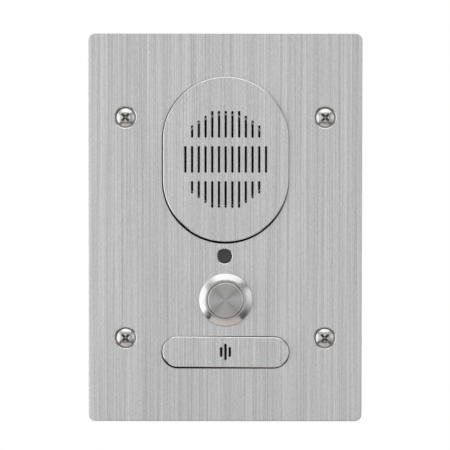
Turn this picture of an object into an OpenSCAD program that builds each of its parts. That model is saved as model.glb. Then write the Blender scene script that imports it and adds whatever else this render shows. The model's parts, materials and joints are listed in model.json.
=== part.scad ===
// Intercom door station: a flush steel plate for a three-gang wall box, with a loudspeaker behind a slotted
// cover, a status lens, a call button, a microphone behind a second cover, and the works in a rear tub.
// X runs to the right seen from the front, Y runs into the wall and Z runs up.
// The origin is the centre of the plate, on the wall plane that the gasket rests on.

/* [Faceplate] */
// Width of the plate
plate_w = 114.3; // [108:0.1:130]
// Height of the plate
plate_h = 161.9; // [156:0.1:180]
// Thickness of the plate
plate_t = 2.5; // [2:0.1:4]
// Radius of the plate's corners
plate_corner_r = 3; // [1:0.1:8]
// Chamfer that breaks the plate's front edge
plate_edge = 0.3; // [0.1:0.05:0.6]
// Thickness of the foam gasket between plate and wall
gasket_t = 1.6; // [1:0.1:3]
// How far the gasket stays inside the plate's edge
gasket_inset = 1.5; // [0.5:0.1:4]

/* [Wall screws] */
// Spacing of the wall screws across
screw_pitch_x = 83.3; // [80:0.1:92]
// Spacing of the wall screws up and down
screw_pitch_z = 92.1; // [80:0.1:110]
// Thread diameter of the wall screws
screw_d = 3.5; // [3:0.1:4]
// Diameter of the oval screw heads
screw_head_d = 7.2; // [6.4:0.1:8]
// Height of the oval dome on a screw head
screw_dome_h = 1; // [0.6:0.1:1.4]
// Diameter of the countersink at the plate's face
countersink_d = 8.8; // [8.2:0.1:10]
// Length of thread behind the wall plane
screw_reach = 20; // [12:0.5:30]

/* [Covers] */
// How far both covers stand proud of the plate
cover_proud = 1; // [0.4:0.1:2]
// Wall of the pressed covers
cover_wall = 1.5; // [1:0.1:2]
// Clearance left and right of a cover in its cut-out
cover_gap_side = 0.2; // [0.1:0.05:0.5]
// Clearance above and below a cover in its cut-out
cover_gap_end = 0.35; // [0.2:0.05:0.6]
// Part of the side clearance by which both covers sit to the right
cover_shift_share = 0.4; // [0:0.05:0.8]
// Chamfer on the front edge of the covers
cover_edge = 0.5; // [0.2:0.05:0.8]
// Thickness of the flange behind the plate
cover_flange_t = 1.5; // [1:0.1:2]
// Thickness of the foam seal between flange and plate
cover_seal_t = 0.8; // [0.5:0.1:1.5]

/* [Speaker cover] */
// Width of the speaker cover
speaker_cover_w = 52.6; // [51:0.1:58]
// Height of the speaker cover
speaker_cover_h = 69; // [66:0.1:74]
// Height of the speaker's centre above the plate's centre
speaker_z = 28.2; // [26:0.1:32]
// Part of the end clearance by which the speaker cover sits high
speaker_lift_share = 0.8; // [0:0.05:0.9]
// Width of the flange around the speaker cover
speaker_flange = 3; // [2:0.1:4]
// Width of the flange at the bottom, cut flat to clear the lens
speaker_flange_low = 0.9; // [0.6:0.1:1]
// Number of slot columns in the middle row
slot_columns = 13; // [9:2:15]
// Spacing of the slot columns
slot_pitch = 2.8; // [2.2:0.1:3]
// Width of a sound slot
slot_w = 0.85; // [0.6:0.05:1.2]
// Length of the longest slots
slot_l = 11; // [10:0.5:12]
// How much shorter each outer slot is than its neighbour
slot_step = 2; // [1:0.1:2.4]
// Bare strip between the rows of slots
slot_row_gap = 3.5; // [2:0.1:5]

/* [Speaker] */
// Outside diameter of the speaker's steel frame
speaker_d = 45; // [43:0.5:47]
// Diameter of the opening inside the steel rim
speaker_mouth_d = 37.8; // [36:0.2:39]
// Depth of the basket behind the rim
basket_h = 9.8; // [8:0.2:12]
// Thickness of the frame's steel sheet
frame_t = 0.8; // [0.6:0.1:1.2]
// Thickness of the foam ring in front of the rim
speaker_gasket_t = 0.8; // [0.5:0.1:1.5]
// Diameter of the ring magnet
magnet_d = 24; // [22:0.5:28]
// Thickness of the ring magnet
magnet_t = 5; // [4:0.5:6]
// Diameter of the voice coil's former
coil_d = 9.5; // [8.5:0.1:10.5]
// Stroke of the cone each way from rest
cone_stroke = 0.5; // [0.2:0.1:0.7]

/* [Status lens] */
// Height of the lens above the plate's centre
lens_z = -12; // [-12.6:0.1:-11.8]
// Diameter of the lens
lens_d = 6; // [5:0.1:6.4]
// How far the lens lies below the plate's face
lens_sink = 0.2; // [0:0.05:0.5]
// Radial clearance of the lens in its hole
lens_gap = 0.1; // [0.05:0.05:0.3]

/* [Call button] */
// Height of the button above the plate's centre
button_z = -30.3; // [-30.8:0.1:-30]
// Outside diameter of the bezel
bezel_d = 22; // [21.6:0.1:23]
// Height of the bezel above the plate
bezel_h = 2.3; // [1.8:0.1:3]
// Height of the bezel's straight outer edge
bezel_edge_h = 0.5; // [0.3:0.1:0.8]
// Width of the flat lip at the bezel's inner edge
bezel_lip = 0.3; // [0.2:0.05:0.5]
// Radius of the bezel's domed section
bezel_dome_r = 3.8; // [3:0.1:6]
// Thread diameter of the barrel
barrel_d = 19; // [18.6:0.1:19.4]
// Length of the barrel behind the plate's face
barrel_l = 14; // [13:0.5:18]
// Diameter of the cap
cap_d = 15.5; // [14.5:0.1:15.6]
// Radial clearance of the cap in its bore
cap_gap = 0.35; // [0.2:0.05:0.4]
// Width of the sloped rim around the cap's flat face
cap_rim_w = 0.9; // [0.5:0.1:1.4]
// Depth of that sloped rim
cap_rim_h = 0.4; // [0.2:0.05:0.6]
// Thickness of the cap
cap_t = 3.2; // [2.6:0.1:3.6]
// How far the cap stands out past the bezel
cap_proud = 0.1; // [0:0.05:0.4]
// Travel of the button
button_travel = 2; // [1:0.1:2.4]
// Diameter of the cap's stem
stem_d = 6; // [5:0.1:6.4]
// Width of the hexagon nut across its flats
button_nut_af = 22; // [21.6:0.1:22.2]
// Wire diameter of the return spring
spring_wire_d = 0.5; // [0.4:0.05:0.6]
// Turns of the return spring
spring_turns = 6; // [4:1:7]
// Mean diameter of the return spring
spring_d = 6.6; // [6.2:0.1:7]

/* [Microphone] */
// Height of the microphone above the plate's centre
mic_z = -52; // [-52.6:0.1:-51.8]
// Width of the microphone cover
mic_cover_w = 53.3; // [48:0.1:55]
// Height of the microphone cover
mic_cover_h = 13.2; // [12.6:0.1:13.6]
// Part of the end clearance by which the microphone cover sits high
mic_lift_share = 0.4; // [0:0.05:0.5]
// Part of the end clearance that its right end has turned down
mic_turn_share = 0.35; // [0:0.05:0.4]
// Width of the flange around the microphone cover
mic_flange = 2; // [1.2:0.1:2.2]
// Spacing of the three microphone slots
mic_slot_pitch = 1.8; // [1.2:0.1:2.4]
// Width of a microphone slot
mic_slot_w = 0.8; // [0.6:0.05:1]
// Length of the middle microphone slot
mic_slot_l = 6.8; // [5:0.1:8]
// How much shorter the two outer slots are
mic_slot_step = 2.8; // [1:0.1:4]
// Diameter of the microphone capsule
mic_capsule_d = 6; // [5:0.1:6.4]
// Length of the microphone capsule
mic_capsule_l = 3; // [2.4:0.1:3]

/* [Works] */
// Thread diameter of the weld studs
stud_d = 3; // [2.5:0.1:3]
// How far outside the speaker cover's side the bracket studs stand
bracket_stud_out = 0.2; // [0:0.1:1.5]
// Distance of the microphone clamp's studs from the middle
mic_stud_x = 24; // [20:0.5:26]
// Thickness of the moulded bracket and clamp
bracket_t = 2; // [1.5:0.1:3]
// Radius of the feet and ears around each stud
foot_r = 3.3; // [3:0.1:3.6]
// Width of the hexagon pillars across their flats
pillar_af = 5.5; // [5:0.1:6]
// Length of the pillars that carry the circuit board
board_pillar_l = 19.5; // [18:0.5:26]
// Length of the pillars between board and tub
tub_pillar_l = 14; // [13.5:0.5:20]
// Thickness of the circuit board
board_t = 1.6; // [1:0.1:2.4]
// Wall of the rear tub
tub_wall = 2; // [1.5:0.1:3]
// Corner radius of the rear tub
tub_corner_r = 5; // [3:0.5:6]
// Chamfer around the back of the rear tub
tub_edge = 1.5; // [0.5:0.1:1.8]
// Clearance inside the tub around the works
tub_clear = 1; // [0.6:0.1:3]
// Height of the cable entry above the plate's centre
entry_z = -52; // [-55:0.5:-48]
// Bore of the cable grommet
grommet_bore_d = 7; // [4:0.5:9]
// Hole in the tub for the cable grommet
grommet_hole_d = 14; // [13:0.5:18]
// Width of the shallow bare recess on the back of the tub
panel_w = 40; // [20:1:46]
// Height of that recess
panel_h = 52; // [20:1:56]
// Depth of that recess
panel_sink = 0.5; // [0.2:0.1:0.8]

/* [Hidden] */
$fn = 64;

// Running past a face so that a cut goes clean through
past = 1;
// Clearance of a pin or stud in its hole, on the radius
pin_gap = 0.1;
// Clearance of a screw in its thread, on the radius
thread_gap = 0.05;
// Clearance of a running fit, on the radius
slide_gap = 0.06;
// Clearance left at the end of a stroke
stop_gap = 0.3;

// The layers from the wall plane forwards
plate_back = -gasket_t;
plate_front = plate_back - plate_t;
cover_front = plate_front - cover_proud;
cover_inside = cover_front + cover_wall;
flange_front = plate_back + cover_seal_t;
flange_back = flange_front + cover_flange_t;
bracket_back = flange_back + bracket_t;

// How the two covers lie in their cut-outs
cover_shift = cover_gap_side * cover_shift_share;
speaker_lift = cover_gap_end * speaker_lift_share;
mic_lift = cover_gap_end * mic_lift_share;
mic_turn = atan(cover_gap_end * mic_turn_share / (mic_cover_w / 2));

// The layers behind the bracket
board_front = bracket_back + board_pillar_l;
board_back = board_front + board_t;
tub_floor = board_back + tub_pillar_l;
tub_back = tub_floor + tub_wall;

// Where the studs stand, and how far a stud or screw reaches into a pillar's threaded hole
stud_grip = 6;
pillar_hole = stud_grip + 1;
bracket_stud_x = speaker_cover_w / 2 + bracket_stud_out;
bracket_stud_dz = speaker_cover_h / 2 - 1.75;
bracket_studs = [for (x = [-1, 1], z = [-1, 1]) [x * bracket_stud_x, speaker_z + z * bracket_stud_dz]];
bracket_margin = foot_r + 0.2;
bracket_w = 2 * max(bracket_stud_x + bracket_margin, speaker_cover_w / 2 + speaker_flange + 0.5);
bracket_h = 2 * (bracket_stud_dz + bracket_margin);
mic_stud_dz = mic_cover_h / 2 + mic_flange + foot_r + 0.6;
mic_studs = [for (x = [-1, 1], z = [-1, 1]) [x * mic_stud_x, mic_z + z * mic_stud_dz]];
tongue_w = 14;
tongue_low = lens_z - lens_d / 2 - 2.3;

// The tub goes round the bracket, the clamp and the flanges of both covers
speaker_flange_top = speaker_cover_h / 2 + speaker_flange + speaker_lift;
tub_inner_w = max(bracket_w, mic_cover_w + 2 * mic_flange, 2 * (mic_stud_x + foot_r)) + 2 * tub_clear;
tub_inner_top = speaker_z + max(bracket_h / 2, speaker_flange_top) + tub_clear;
tub_inner_low = mic_z - mic_stud_dz - foot_r - tub_clear;
tub_inner_h = tub_inner_top - tub_inner_low;
tub_mid_z = (tub_inner_top + tub_inner_low) / 2;
tub_w = tub_inner_w + 2 * tub_wall;
tub_h = tub_inner_h + 2 * tub_wall;
gasket_clear = 1;

// The wall screws
wall_screws = [for (x = [-1, 1], z = [-1, 1]) [x * screw_pitch_x / 2, z * screw_pitch_z / 2]];
screw_hole_d = screw_d + 0.5;
screw_neck_d = screw_d - 0.5;
screw_seat_gap = 0.05;
screw_rim = plate_front + (countersink_d - screw_head_d) / 2 - screw_seat_gap;
screw_cone_h = (screw_head_d - screw_neck_d) / 2;
screw_dome_r = (pow(screw_head_d / 2, 2) + pow(screw_dome_h, 2)) / (2 * screw_dome_h);
screw_apex = screw_rim - screw_dome_h;
screw_tip = 0.6;
recess_l = 3.9;
recess_w = 0.85;
recess_h = 1.4;

// The loudspeaker, from the front of its rim backwards
rim_front = cover_inside + speaker_gasket_t;
rim_back = rim_front + frame_t;
rim_r = speaker_d / 2;
mouth_r = speaker_mouth_d / 2;
gasket_ring_r = mouth_r + 0.9;
ledge_front = rim_front + 1;
ledge_back = ledge_front + frame_t;
ledge_w = 1.4;
step_r = mouth_r + frame_t;
basket_back = rim_front + basket_h;
basket_floor = basket_back - frame_t;
basket_top_r = mouth_r - ledge_w;
basket_low_r = magnet_d / 2 + 0.3;
collar_r = step_r + 0.5;
collar_out_r = rim_r - 0.1;
coil_r = coil_d / 2;
coil_t = 0.3;
coil_gap = 0.25;
pole_r = coil_r - coil_t - coil_gap;
top_plate_t = 1.5;
yoke_t = 2;
top_plate_back = basket_back + top_plate_t;
magnet_back = top_plate_back + magnet_t;
yoke_back = magnet_back + yoke_t;
surround_t = 0.3;
surround_r = 0.85;
surround_mid_r = basket_top_r + 0.2 - surround_r;
cone_r = surround_mid_r - surround_r;
cone_t = 0.5;
cone_front = ledge_front - surround_t;
neck_front = basket_floor - 3;
coil_front = neck_front - 0.1;
coil_back = top_plate_back + cone_stroke;
spider_t = 0.3;
spider_r = basket_low_r - 1.2;
dust_cap_r = coil_r + 0.65;
dust_cap_sphere_r = 8;
dust_cap_t = 0.4;
cone_slope = (neck_front - cone_front) / (cone_r - coil_r);
dust_cap_back = cone_front + (cone_r - dust_cap_r) * cone_slope - 0.06;
dust_cap_rise = dust_cap_sphere_r - sqrt(pow(dust_cap_sphere_r, 2) - pow(dust_cap_r, 2));
window_w = 9;
window_edge = 1;
tag_front = rim_front + basket_h * 0.53;
tag_t = 1;
tag_w = 8;
tag_out_r = basket_top_r + 0.8;
tag_in_r = (basket_top_r + basket_low_r) / 2 - 0.2;

// The lens and its lamp
lens_flange_r = lens_d / 2 + 1.2;
lens_front = plate_front + lens_sink;
led_r = 2.5;
led_hole_r = led_r + stop_gap;
led_nose = flange_back + 0.8;
led_body_back = led_nose + 8.6;
led_leg = 0.5;
led_leg_pitch = 2.54;

// The push switch behind the call button
button_hole_d = barrel_d + 0.2;
bezel_r = bezel_d / 2;
bore_r = cap_d / 2 + cap_gap;
bezel_front = plate_front - bezel_h;
cap_front = bezel_front - cap_proud;
cap_back = cap_front + cap_t;
stem_r = stem_d / 2;
bore_floor = cap_back + button_travel + stop_gap;
web_t = 2.5;
web_back = bore_floor + web_t;
plunger_front = web_back + stop_gap;
plunger_t = 2.4;
plunger_back = plunger_front + plunger_t;
ring_t = 0.5;
ring_back = plunger_back + ring_t;
spring_r = spring_d / 2;
spring_room = 0.55;
ring_in_r = spring_r + spring_wire_d / 2 + spring_room;
ring_out_r = ring_in_r + 1.9;
plunger_r = ring_out_r + 0.2;
plunger_boss_r = spring_r - spring_wire_d / 2 - spring_room;
plunger_boss_l = 5;
barrel_back = plate_front + barrel_l;
barrel_wall = 1.9;
chamber_r = barrel_d / 2 - barrel_wall;
base_front = ring_back + button_travel + stop_gap;
base_plug_r = chamber_r - slide_gap;
base_r = barrel_d / 2 - 0.3;
base_plug_back = max(barrel_back, base_front + 2);
base_tail_l = 12;
base_back = base_plug_back + base_tail_l;
spring_l = 12;
spring_back = plunger_back + spring_l;
base_well_r = ring_in_r - 0.3;
blade_w = 2.8;
blade_t = 0.5;
blade_x = (ring_in_r + ring_out_r) / 2;
blade_front = ring_back + button_travel + 0.1;
blade_back = base_back + 7;
seal_groove_r = stem_r + 1.2;
seal_cord_r = 0.5;
seal_mid = (bore_floor + web_back) / 2;
seal_groove_w = 1.2;
panel_seal_in_r = barrel_d / 2 + 0.25;
panel_seal_out_r = bezel_r - 0.35;
panel_seal_t = 0.55;
washer_t = 0.8;
washer_r = button_nut_af / 2 + 0.5;
nut_front = plate_back + washer_t;
nut_t = 3;

// The microphone
mesh_t = 0.25;
mesh_r = mic_cover_h / 2 - cover_wall - 0.4;
boot_front = cover_inside + mesh_t;
boot_r = mesh_r + 0.1;
boot_wall = 1;
capsule_front = boot_front + boot_wall;
capsule_back = capsule_front + mic_capsule_l;
mic_window_r = mic_capsule_d / 2 + 0.4;
nut_m3_af = 5.5;
nut_m3_t = 2.4;

// The circuit board and what stands on it
board_w = 2 * (bracket_stud_x + 2.7);
board_top = speaker_z + bracket_stud_dz + 2.7;
board_low = lens_z - 5;
board_corner_r = 1.5;
socket = [8, 6, 6];
speaker_socket = [-19, speaker_z];
mic_socket = [20, board_low + 6];
button_socket = [22, board_low + 6];
// Each chip: across, above the speaker's centre, width, height, thickness
chips = [[-9, 4, 14, 14, 1.4], [10, 8, 9, 7, 1.6], [-12, -14, 6, 8, 1.8], [9, 22, 16, 9, 6]];
// Each capacitor: across, above the speaker's centre, radius, length
capacitors = [[19, -6, 4, 11], [19, -16, 4, 11], [19, -26, 4, 11], [-15, 22, 5, 12.5]];
block_ways = 6;
block_pitch = 5;
block = [block_ways * block_pitch + 1, 12.5, 9.5];
block_z = board_low + 1.5 + block[2] / 2;
block_screw_r = 1.7;
block_screw_sink = 1;
block_screw_l = 3;
block_slot_w = 0.6;
block_slot_h = 0.8;
block_entry = [3.2, 3.6, 5];
block_entry_rise = 2.5;

// The back of the tub
panel_corner_r = 3;

// The cable grommet
grommet_lip_r = grommet_hole_d / 2 + 2;
grommet_lip_t = 1.5;

// The screws at the back
tub_screw_head_r = 2.8;
tub_screw_head_h = 2;
tub_screw_dome_r = 5;
tub_screw_recess = [3, 0.7, 1.2];

// The leads
lead_r = 0.7;
mic_lead_r = 1.1;
lead_sides = 8;
lead_rings = 24;
lead_straight = 1.5;
// How far each lead runs on in the way it leaves and the way it arrives
speaker_lead_bend = [5, 5];
button_lead_bend = [2, 10];
button_far_lead_bend = [12, 8];
mic_lead_bend = [22, 26];
// How far apart the two leads lie at a socket
socket_pin_pitch = 2.5;

// Shared shapes

// Middles of the corner arcs along one side of a rounded outline
function spread(side, r) = side > 2 * r + 0.001 ? [r - side / 2, side / 2 - r] : [0];

// Flat outline with rounded corners, drawn across and up
module outline(w, h, r) {
  for (x = spread(w, r), z = spread(h, r)) translate([x, z]) circle(r);
  if (h > 2 * r + 0.001) square([w, h - 2 * r], center = true);
  if (w > 2 * r + 0.001) square([w - 2 * r, h], center = true);
}

// Flat outline with fully round ends
module obround(w, h) {
  outline(w, h, min(w, h) / 2);
}

// Gives a flat front-view outline its thickness, from y_front back to y_back
module slab(y_front, y_back) {
  translate([0, y_back, 0]) rotate([90, 0, 0]) linear_extrude(y_back - y_front) children();
}

// Turns an outline of radius and depth about an axis that runs into the wall
module turned(x, z) {
  translate([x, 0, z]) rotate([-90, 0, 0]) rotate_extrude() children();
}

// Round bar running into the wall, straight or tapered
module rod(x, z, r, y_front, y_back, r_back = undef) {
  translate([x, y_front, z]) rotate([-90, 0, 0])
    cylinder(h = y_back - y_front, r1 = r, r2 = is_undef(r_back) ? r : r_back);
}

// Plain round ring
module ring(x, z, r_in, r_out, y_front, y_back) {
  difference() {
    rod(x, z, r_out, y_front, y_back);
    rod(x, z, r_in, y_front - past, y_back + past);
  }
}

// Hexagon bar with its flats up and down
module hexagon(x, z, af, y_front, y_back) {
  translate([x, y_front, z]) rotate([-90, 0, 0]) cylinder(h = y_back - y_front, d = af / cos(30), $fn = 6);
}

// Block given by its middle across and up, its size and its front
module block_at(x, z, w, h, y_front, y_back) {
  translate([x - w / 2, y_front, z - h / 2]) cube([w, y_back - y_front, h]);
}

// Section of a plate of one width, with its front or back edges broken
function edged_section(width, y_front, y_back, front_edge, back_edge) = [
  [-width / 2, y_back - back_edge], [-width / 2, y_front + front_edge],
  [front_edge - width / 2, y_front], [width / 2 - front_edge, y_front],
  [width / 2, y_front + front_edge], [width / 2, y_back - back_edge],
  [width / 2 - back_edge, y_back], [back_edge - width / 2, y_back]
];

// Plate with rounded corners whose front or back edges are broken by a chamfer
module edged_plate(w, h, r, y_front, y_back, front_edge = 0, back_edge = 0) {
  for (x = spread(w, r), z = spread(h, r)) {
    rod(x, z, r, y_front + front_edge, y_back - back_edge);
    if (front_edge > 0) rod(x, z, r - front_edge, y_front, y_front + front_edge, r);
    if (back_edge > 0) rod(x, z, r, y_back - back_edge, y_back, r - back_edge);
  }
  if (h > 2 * r + 0.001)
    linear_extrude(h - 2 * r, center = true)
      polygon(edged_section(w, y_front, y_back, front_edge, back_edge));
  if (w > 2 * r + 0.001)
    rotate([0, -90, 0]) linear_extrude(w - 2 * r, center = true)
      polygon(edged_section(h, y_front, y_back, front_edge, back_edge));
}

// Cross recess of a screw head whose highest point is at y_front
module cross_recess(x, z, length, width, depth, y_front, turn) {
  translate([x, y_front, z]) rotate([0, turn, 0]) {
    translate([-length / 2, -past, -width / 2]) cube([length, depth + past, width]);
    translate([-width / 2, -past, -length / 2]) cube([width, depth + past, length]);
  }
}

// Points along a smooth bend that leaves one place and arrives at another
function bend_point(a, b, c, d, t) =
  pow(1 - t, 3) * a + 3 * pow(1 - t, 2) * t * b + 3 * (1 - t) * t * t * c + pow(t, 3) * d;
function lead_route(from, leave, to, arrive) =
  let (start = from + unit(leave) * lead_straight, stop = to - unit(arrive) * lead_straight)
  concat([from],
    [for (i = [0 : lead_rings]) bend_point(start, start + leave, stop - arrive, stop, i / lead_rings)], [to]);

// One unbroken tube swept along a list of points, each ring square to the way there
function unit(v) = v / norm(v);
function way(points, i) = unit(points[min(i + 1, len(points) - 1)] - points[max(i - 1, 0)]);
function carry(side, forward) = unit(side - forward * (side * forward));
function sides_along(points, i, side) =
  i == len(points) ? [] : let (s = carry(side, way(points, i))) concat([s], sides_along(points, i + 1, s));
module swept_tube(points, r, sides, first_side) {
  across = sides_along(points, 0, first_side);
  last = len(points) - 1;
  ring_points = [for (i = [0 : last], k = [0 : sides - 1])
    let (a = 360 * k / sides)
    points[i] + r * (cos(a) * across[i] + sin(a) * cross(way(points, i), across[i]))];
  walls = [for (i = [0 : last - 1], k = [0 : sides - 1])
    let (n = (k + 1) % sides, a = i * sides, b = a + sides)
    each [[a + k, b + n, a + n], [a + k, b + k, b + n]]];
  near_end = [for (k = [1 : sides - 2]) [0, k, k + 1]];
  far_end = [for (k = [1 : sides - 2]) [last * sides, last * sides + k + 1, last * sides + k]];
  polyhedron(ring_points, concat(walls, near_end, far_end));
}

// Faceplate and wall fixing

// Cut-out around a cover
module cover_cutout(w, h) {
  obround(w + 2 * cover_gap_side, h + 2 * cover_gap_end);
}

module faceplate() {
  color("silver") difference() {
    edged_plate(plate_w, plate_h, plate_corner_r, plate_front, plate_back, plate_edge);
    slab(plate_front - past, plate_back + past) {
      translate([0, speaker_z]) cover_cutout(speaker_cover_w, speaker_cover_h);
      translate([0, mic_z]) cover_cutout(mic_cover_w, mic_cover_h);
    }
    rod(0, lens_z, lens_d / 2 + lens_gap, plate_front - past, plate_back + past);
    rod(0, button_z, button_hole_d / 2, plate_front - past, plate_back + past);
    for (p = wall_screws) {
      rod(p[0], p[1], screw_hole_d / 2, plate_front - past, plate_back + past);
      rod(p[0], p[1], countersink_d / 2 + past, plate_front - past,
        plate_front + (countersink_d - screw_hole_d) / 2, screw_hole_d / 2);
    }
  }
}

module faceplate_gasket() {
  color("#2b2b2d") difference() {
    slab(plate_back, 0) outline(
      plate_w - 2 * gasket_inset, plate_h - 2 * gasket_inset, max(plate_corner_r - gasket_inset, 0.5));
    slab(plate_back - past, past) translate([0, tub_mid_z])
      outline(tub_w + 2 * gasket_clear, tub_h + 2 * gasket_clear, tub_corner_r + gasket_clear);
    for (p = wall_screws) rod(p[0], p[1], screw_d / 2 + 1.25, plate_back - past, past);
  }
}

module faceplate_screws() {
  color("gainsboro") for (p = wall_screws) difference() {
    union() {
      intersection() {
        translate([p[0], screw_apex + screw_dome_r, p[1]]) sphere(screw_dome_r);
        rod(p[0], p[1], screw_head_d / 2, screw_apex - past, screw_rim);
      }
      rod(p[0], p[1], screw_head_d / 2, screw_rim, screw_rim + screw_cone_h, screw_neck_d / 2);
      rod(p[0], p[1], screw_neck_d / 2, screw_rim + screw_cone_h, 0);
      rod(p[0], p[1], screw_d / 2, 0, screw_reach - screw_tip);
      rod(p[0], p[1], screw_d / 2, screw_reach - screw_tip, screw_reach, screw_d / 2 - screw_tip);
    }
    cross_recess(p[0], p[1], recess_l, recess_w, recess_h, screw_apex, 45);
  }
}

module faceplate_studs() {
  color("silver") {
    for (p = bracket_studs) rod(p[0], p[1], stud_d / 2, plate_back, bracket_back + stud_grip);
    for (p = mic_studs) rod(p[0], p[1], stud_d / 2, plate_back, bracket_back + nut_m3_t + 1);
  }
}

// Speaker cover and loudspeaker

module speaker_flange_outline() {
  intersection() {
    obround(speaker_cover_w + 2 * speaker_flange, speaker_cover_h + 2 * speaker_flange);
    translate([-speaker_cover_w, -speaker_cover_h / 2 - speaker_flange_low])
      square([2 * speaker_cover_w, 2 * speaker_cover_h]);
  }
}

module slot_outline(x, z, width, length) {
  translate([x, z]) obround(width, length);
}

module speaker_slots() {
  half = (slot_columns - 1) / 2;
  for (c = [-half : half]) slot_outline(c * slot_pitch, 0, slot_w, slot_l);
  for (c = [1 - half : half - 1]) {
    length = slot_l - slot_step * max(0, abs(c) - 2);
    rise = (slot_l + length) / 2 + slot_row_gap;
    slot_outline(c * slot_pitch, rise, slot_w, length);
    slot_outline(c * slot_pitch, -rise, slot_w, length);
  }
}

module speaker_cover() {
  inner_w = speaker_cover_w - 2 * cover_wall;
  inner_h = speaker_cover_h - 2 * cover_wall;
  color("silver") translate([cover_shift, 0, speaker_z + speaker_lift]) difference() {
    union() {
      edged_plate(
        speaker_cover_w, speaker_cover_h, speaker_cover_w / 2, cover_front, flange_back, cover_edge);
      slab(flange_front, flange_back) speaker_flange_outline();
    }
    slab(cover_inside, flange_back + past) obround(inner_w, inner_h);
    slab(cover_front - past, cover_inside + past) speaker_slots();
  }
}

module speaker_cover_seal() {
  color("#262628") translate([0, 0, speaker_z]) difference() {
    slab(plate_back, flange_front) speaker_flange_outline();
    slab(plate_back - past, flange_front + past) cover_cutout(speaker_cover_w, speaker_cover_h);
  }
}

module speaker_gasket() {
  color("#1c1c1e") ring(0, speaker_z, gasket_ring_r, collar_out_r, cover_inside, rim_front);
}

module speaker_frame() {
  color("lightgray") difference() {
    union() {
      ring(0, speaker_z, mouth_r, rim_r, rim_front, rim_back);
      ring(0, speaker_z, mouth_r, step_r, rim_front, ledge_back);
      ring(0, speaker_z, basket_top_r, step_r, ledge_front, ledge_back);
      turned(0, speaker_z) polygon([
        [basket_top_r, ledge_front], [basket_top_r + frame_t, ledge_front],
        [basket_top_r + frame_t, ledge_back], [basket_low_r, basket_floor], [basket_low_r, basket_back],
        [coil_r + 1, basket_back], [coil_r + 1, basket_floor],
        [basket_low_r - frame_t, basket_floor], [basket_top_r, ledge_back]
      ]);
      block_at(-(tag_in_r + tag_out_r) / 2, speaker_z, tag_out_r - tag_in_r, tag_w,
        tag_front, tag_front + tag_t);
    }
    for (turn = [45 : 90 : 315])
      translate([0, 0, speaker_z]) rotate([0, turn, 0])
        translate([basket_low_r - 2, ledge_back + window_edge, -window_w / 2])
          cube([rim_r, basket_floor - ledge_back - 2 * window_edge, window_w]);
  }
}

module speaker_surround() {
  color("#1d1d1f") turned(0, speaker_z) {
    intersection() {
      difference() {
        translate([surround_mid_r, ledge_front]) circle(surround_r);
        translate([surround_mid_r, ledge_front]) circle(surround_r - surround_t);
      }
      translate([0, ledge_front - 2 * surround_r]) square([rim_r, 2 * surround_r]);
    }
    translate([surround_mid_r + surround_r - surround_t / 2, ledge_front - surround_t])
      square([mouth_r - 0.1 - surround_mid_r - surround_r + surround_t / 2, surround_t]);
  }
}

module speaker_cone() {
  color("#19191b") turned(0, speaker_z) polygon([
    [cone_r, cone_front], [cone_r, cone_front + cone_t],
    [coil_r + thread_gap, neck_front + cone_t], [coil_r + thread_gap, neck_front]
  ]);
}

module speaker_dust_cap() {
  middle = dust_cap_back - dust_cap_rise + dust_cap_sphere_r;
  color("#151517") turned(0, speaker_z) intersection() {
    difference() {
      translate([0, middle]) circle(dust_cap_sphere_r);
      translate([0, middle]) circle(dust_cap_sphere_r - dust_cap_t);
    }
    translate([0, dust_cap_back - 2 * dust_cap_rise]) square([dust_cap_r, 2 * dust_cap_rise]);
  }
}

module voice_coil() {
  color("peru") ring(0, speaker_z, coil_r - coil_t, coil_r, coil_front, coil_back);
}

module speaker_spider() {
  color("#c9a24a")
    ring(0, speaker_z, coil_r + thread_gap, spider_r, basket_floor - spider_t, basket_floor);
}

module speaker_top_plate() {
  color("lightgray") ring(0, speaker_z, coil_r + coil_gap, magnet_d / 2 - 1.5, basket_back, top_plate_back);
}

module speaker_magnet() {
  color("#3a3a3c") ring(0, speaker_z, coil_r + 2.2, magnet_d / 2, top_plate_back, magnet_back);
}

module speaker_yoke() {
  color("lightgray") {
    rod(0, speaker_z, magnet_d / 2 - 1, magnet_back, yoke_back);
    rod(0, speaker_z, pole_r, basket_back, magnet_back);
  }
}

module inner_bracket() {
  color("#222224") difference() {
    union() {
      slab(flange_back, bracket_back) {
        translate([0, speaker_z]) outline(bracket_w, bracket_h, foot_r);
        translate([-tongue_w / 2, tongue_low]) square([tongue_w, speaker_z - tongue_low]);
      }
      rod(0, speaker_z, collar_out_r, rim_back, bracket_back);
      for (p = bracket_studs) rod(p[0], p[1], foot_r, plate_back, flange_back);
    }
    rod(0, speaker_z, collar_r, rim_back - past, bracket_back + past);
    rod(0, lens_z, led_hole_r, flange_back - past, bracket_back + past);
    for (p = bracket_studs) rod(p[0], p[1], stud_d / 2 + pin_gap, plate_back - past, bracket_back + past);
  }
}

// Status lens and lamp

module status_lens() {
  color("#35363a") {
    rod(0, lens_z, lens_d / 2, lens_front, plate_back);
    rod(0, lens_z, lens_flange_r, plate_back, flange_back);
  }
}

module status_led() {
  color("#8f2f2f") {
    translate([0, led_nose + led_r, lens_z]) sphere(led_r);
    rod(0, lens_z, led_r, led_nose + led_r, led_body_back);
    for (s = [-1, 1]) block_at(s * led_leg_pitch / 2, lens_z, led_leg, led_leg, led_body_back, board_front);
  }
}

// Call button

module bezel_section() {
  outer = [bezel_r, plate_front - bezel_edge_h];
  inner = [bore_r + bezel_lip, bezel_front];
  chord = inner - outer;
  outward = unit([-chord[1], chord[0]]);
  middle = (outer + inner) / 2 - outward * sqrt(pow(bezel_dome_r, 2) - pow(norm(chord) / 2, 2));
  polygon([[bore_r, plate_front], [bezel_r, plate_front], outer, inner, [bore_r, bezel_front]]);
  intersection() {
    translate(middle) circle(bezel_dome_r);
    polygon([outer, outer + outward * bezel_h, inner + outward * bezel_h, inner]);
  }
}

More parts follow.
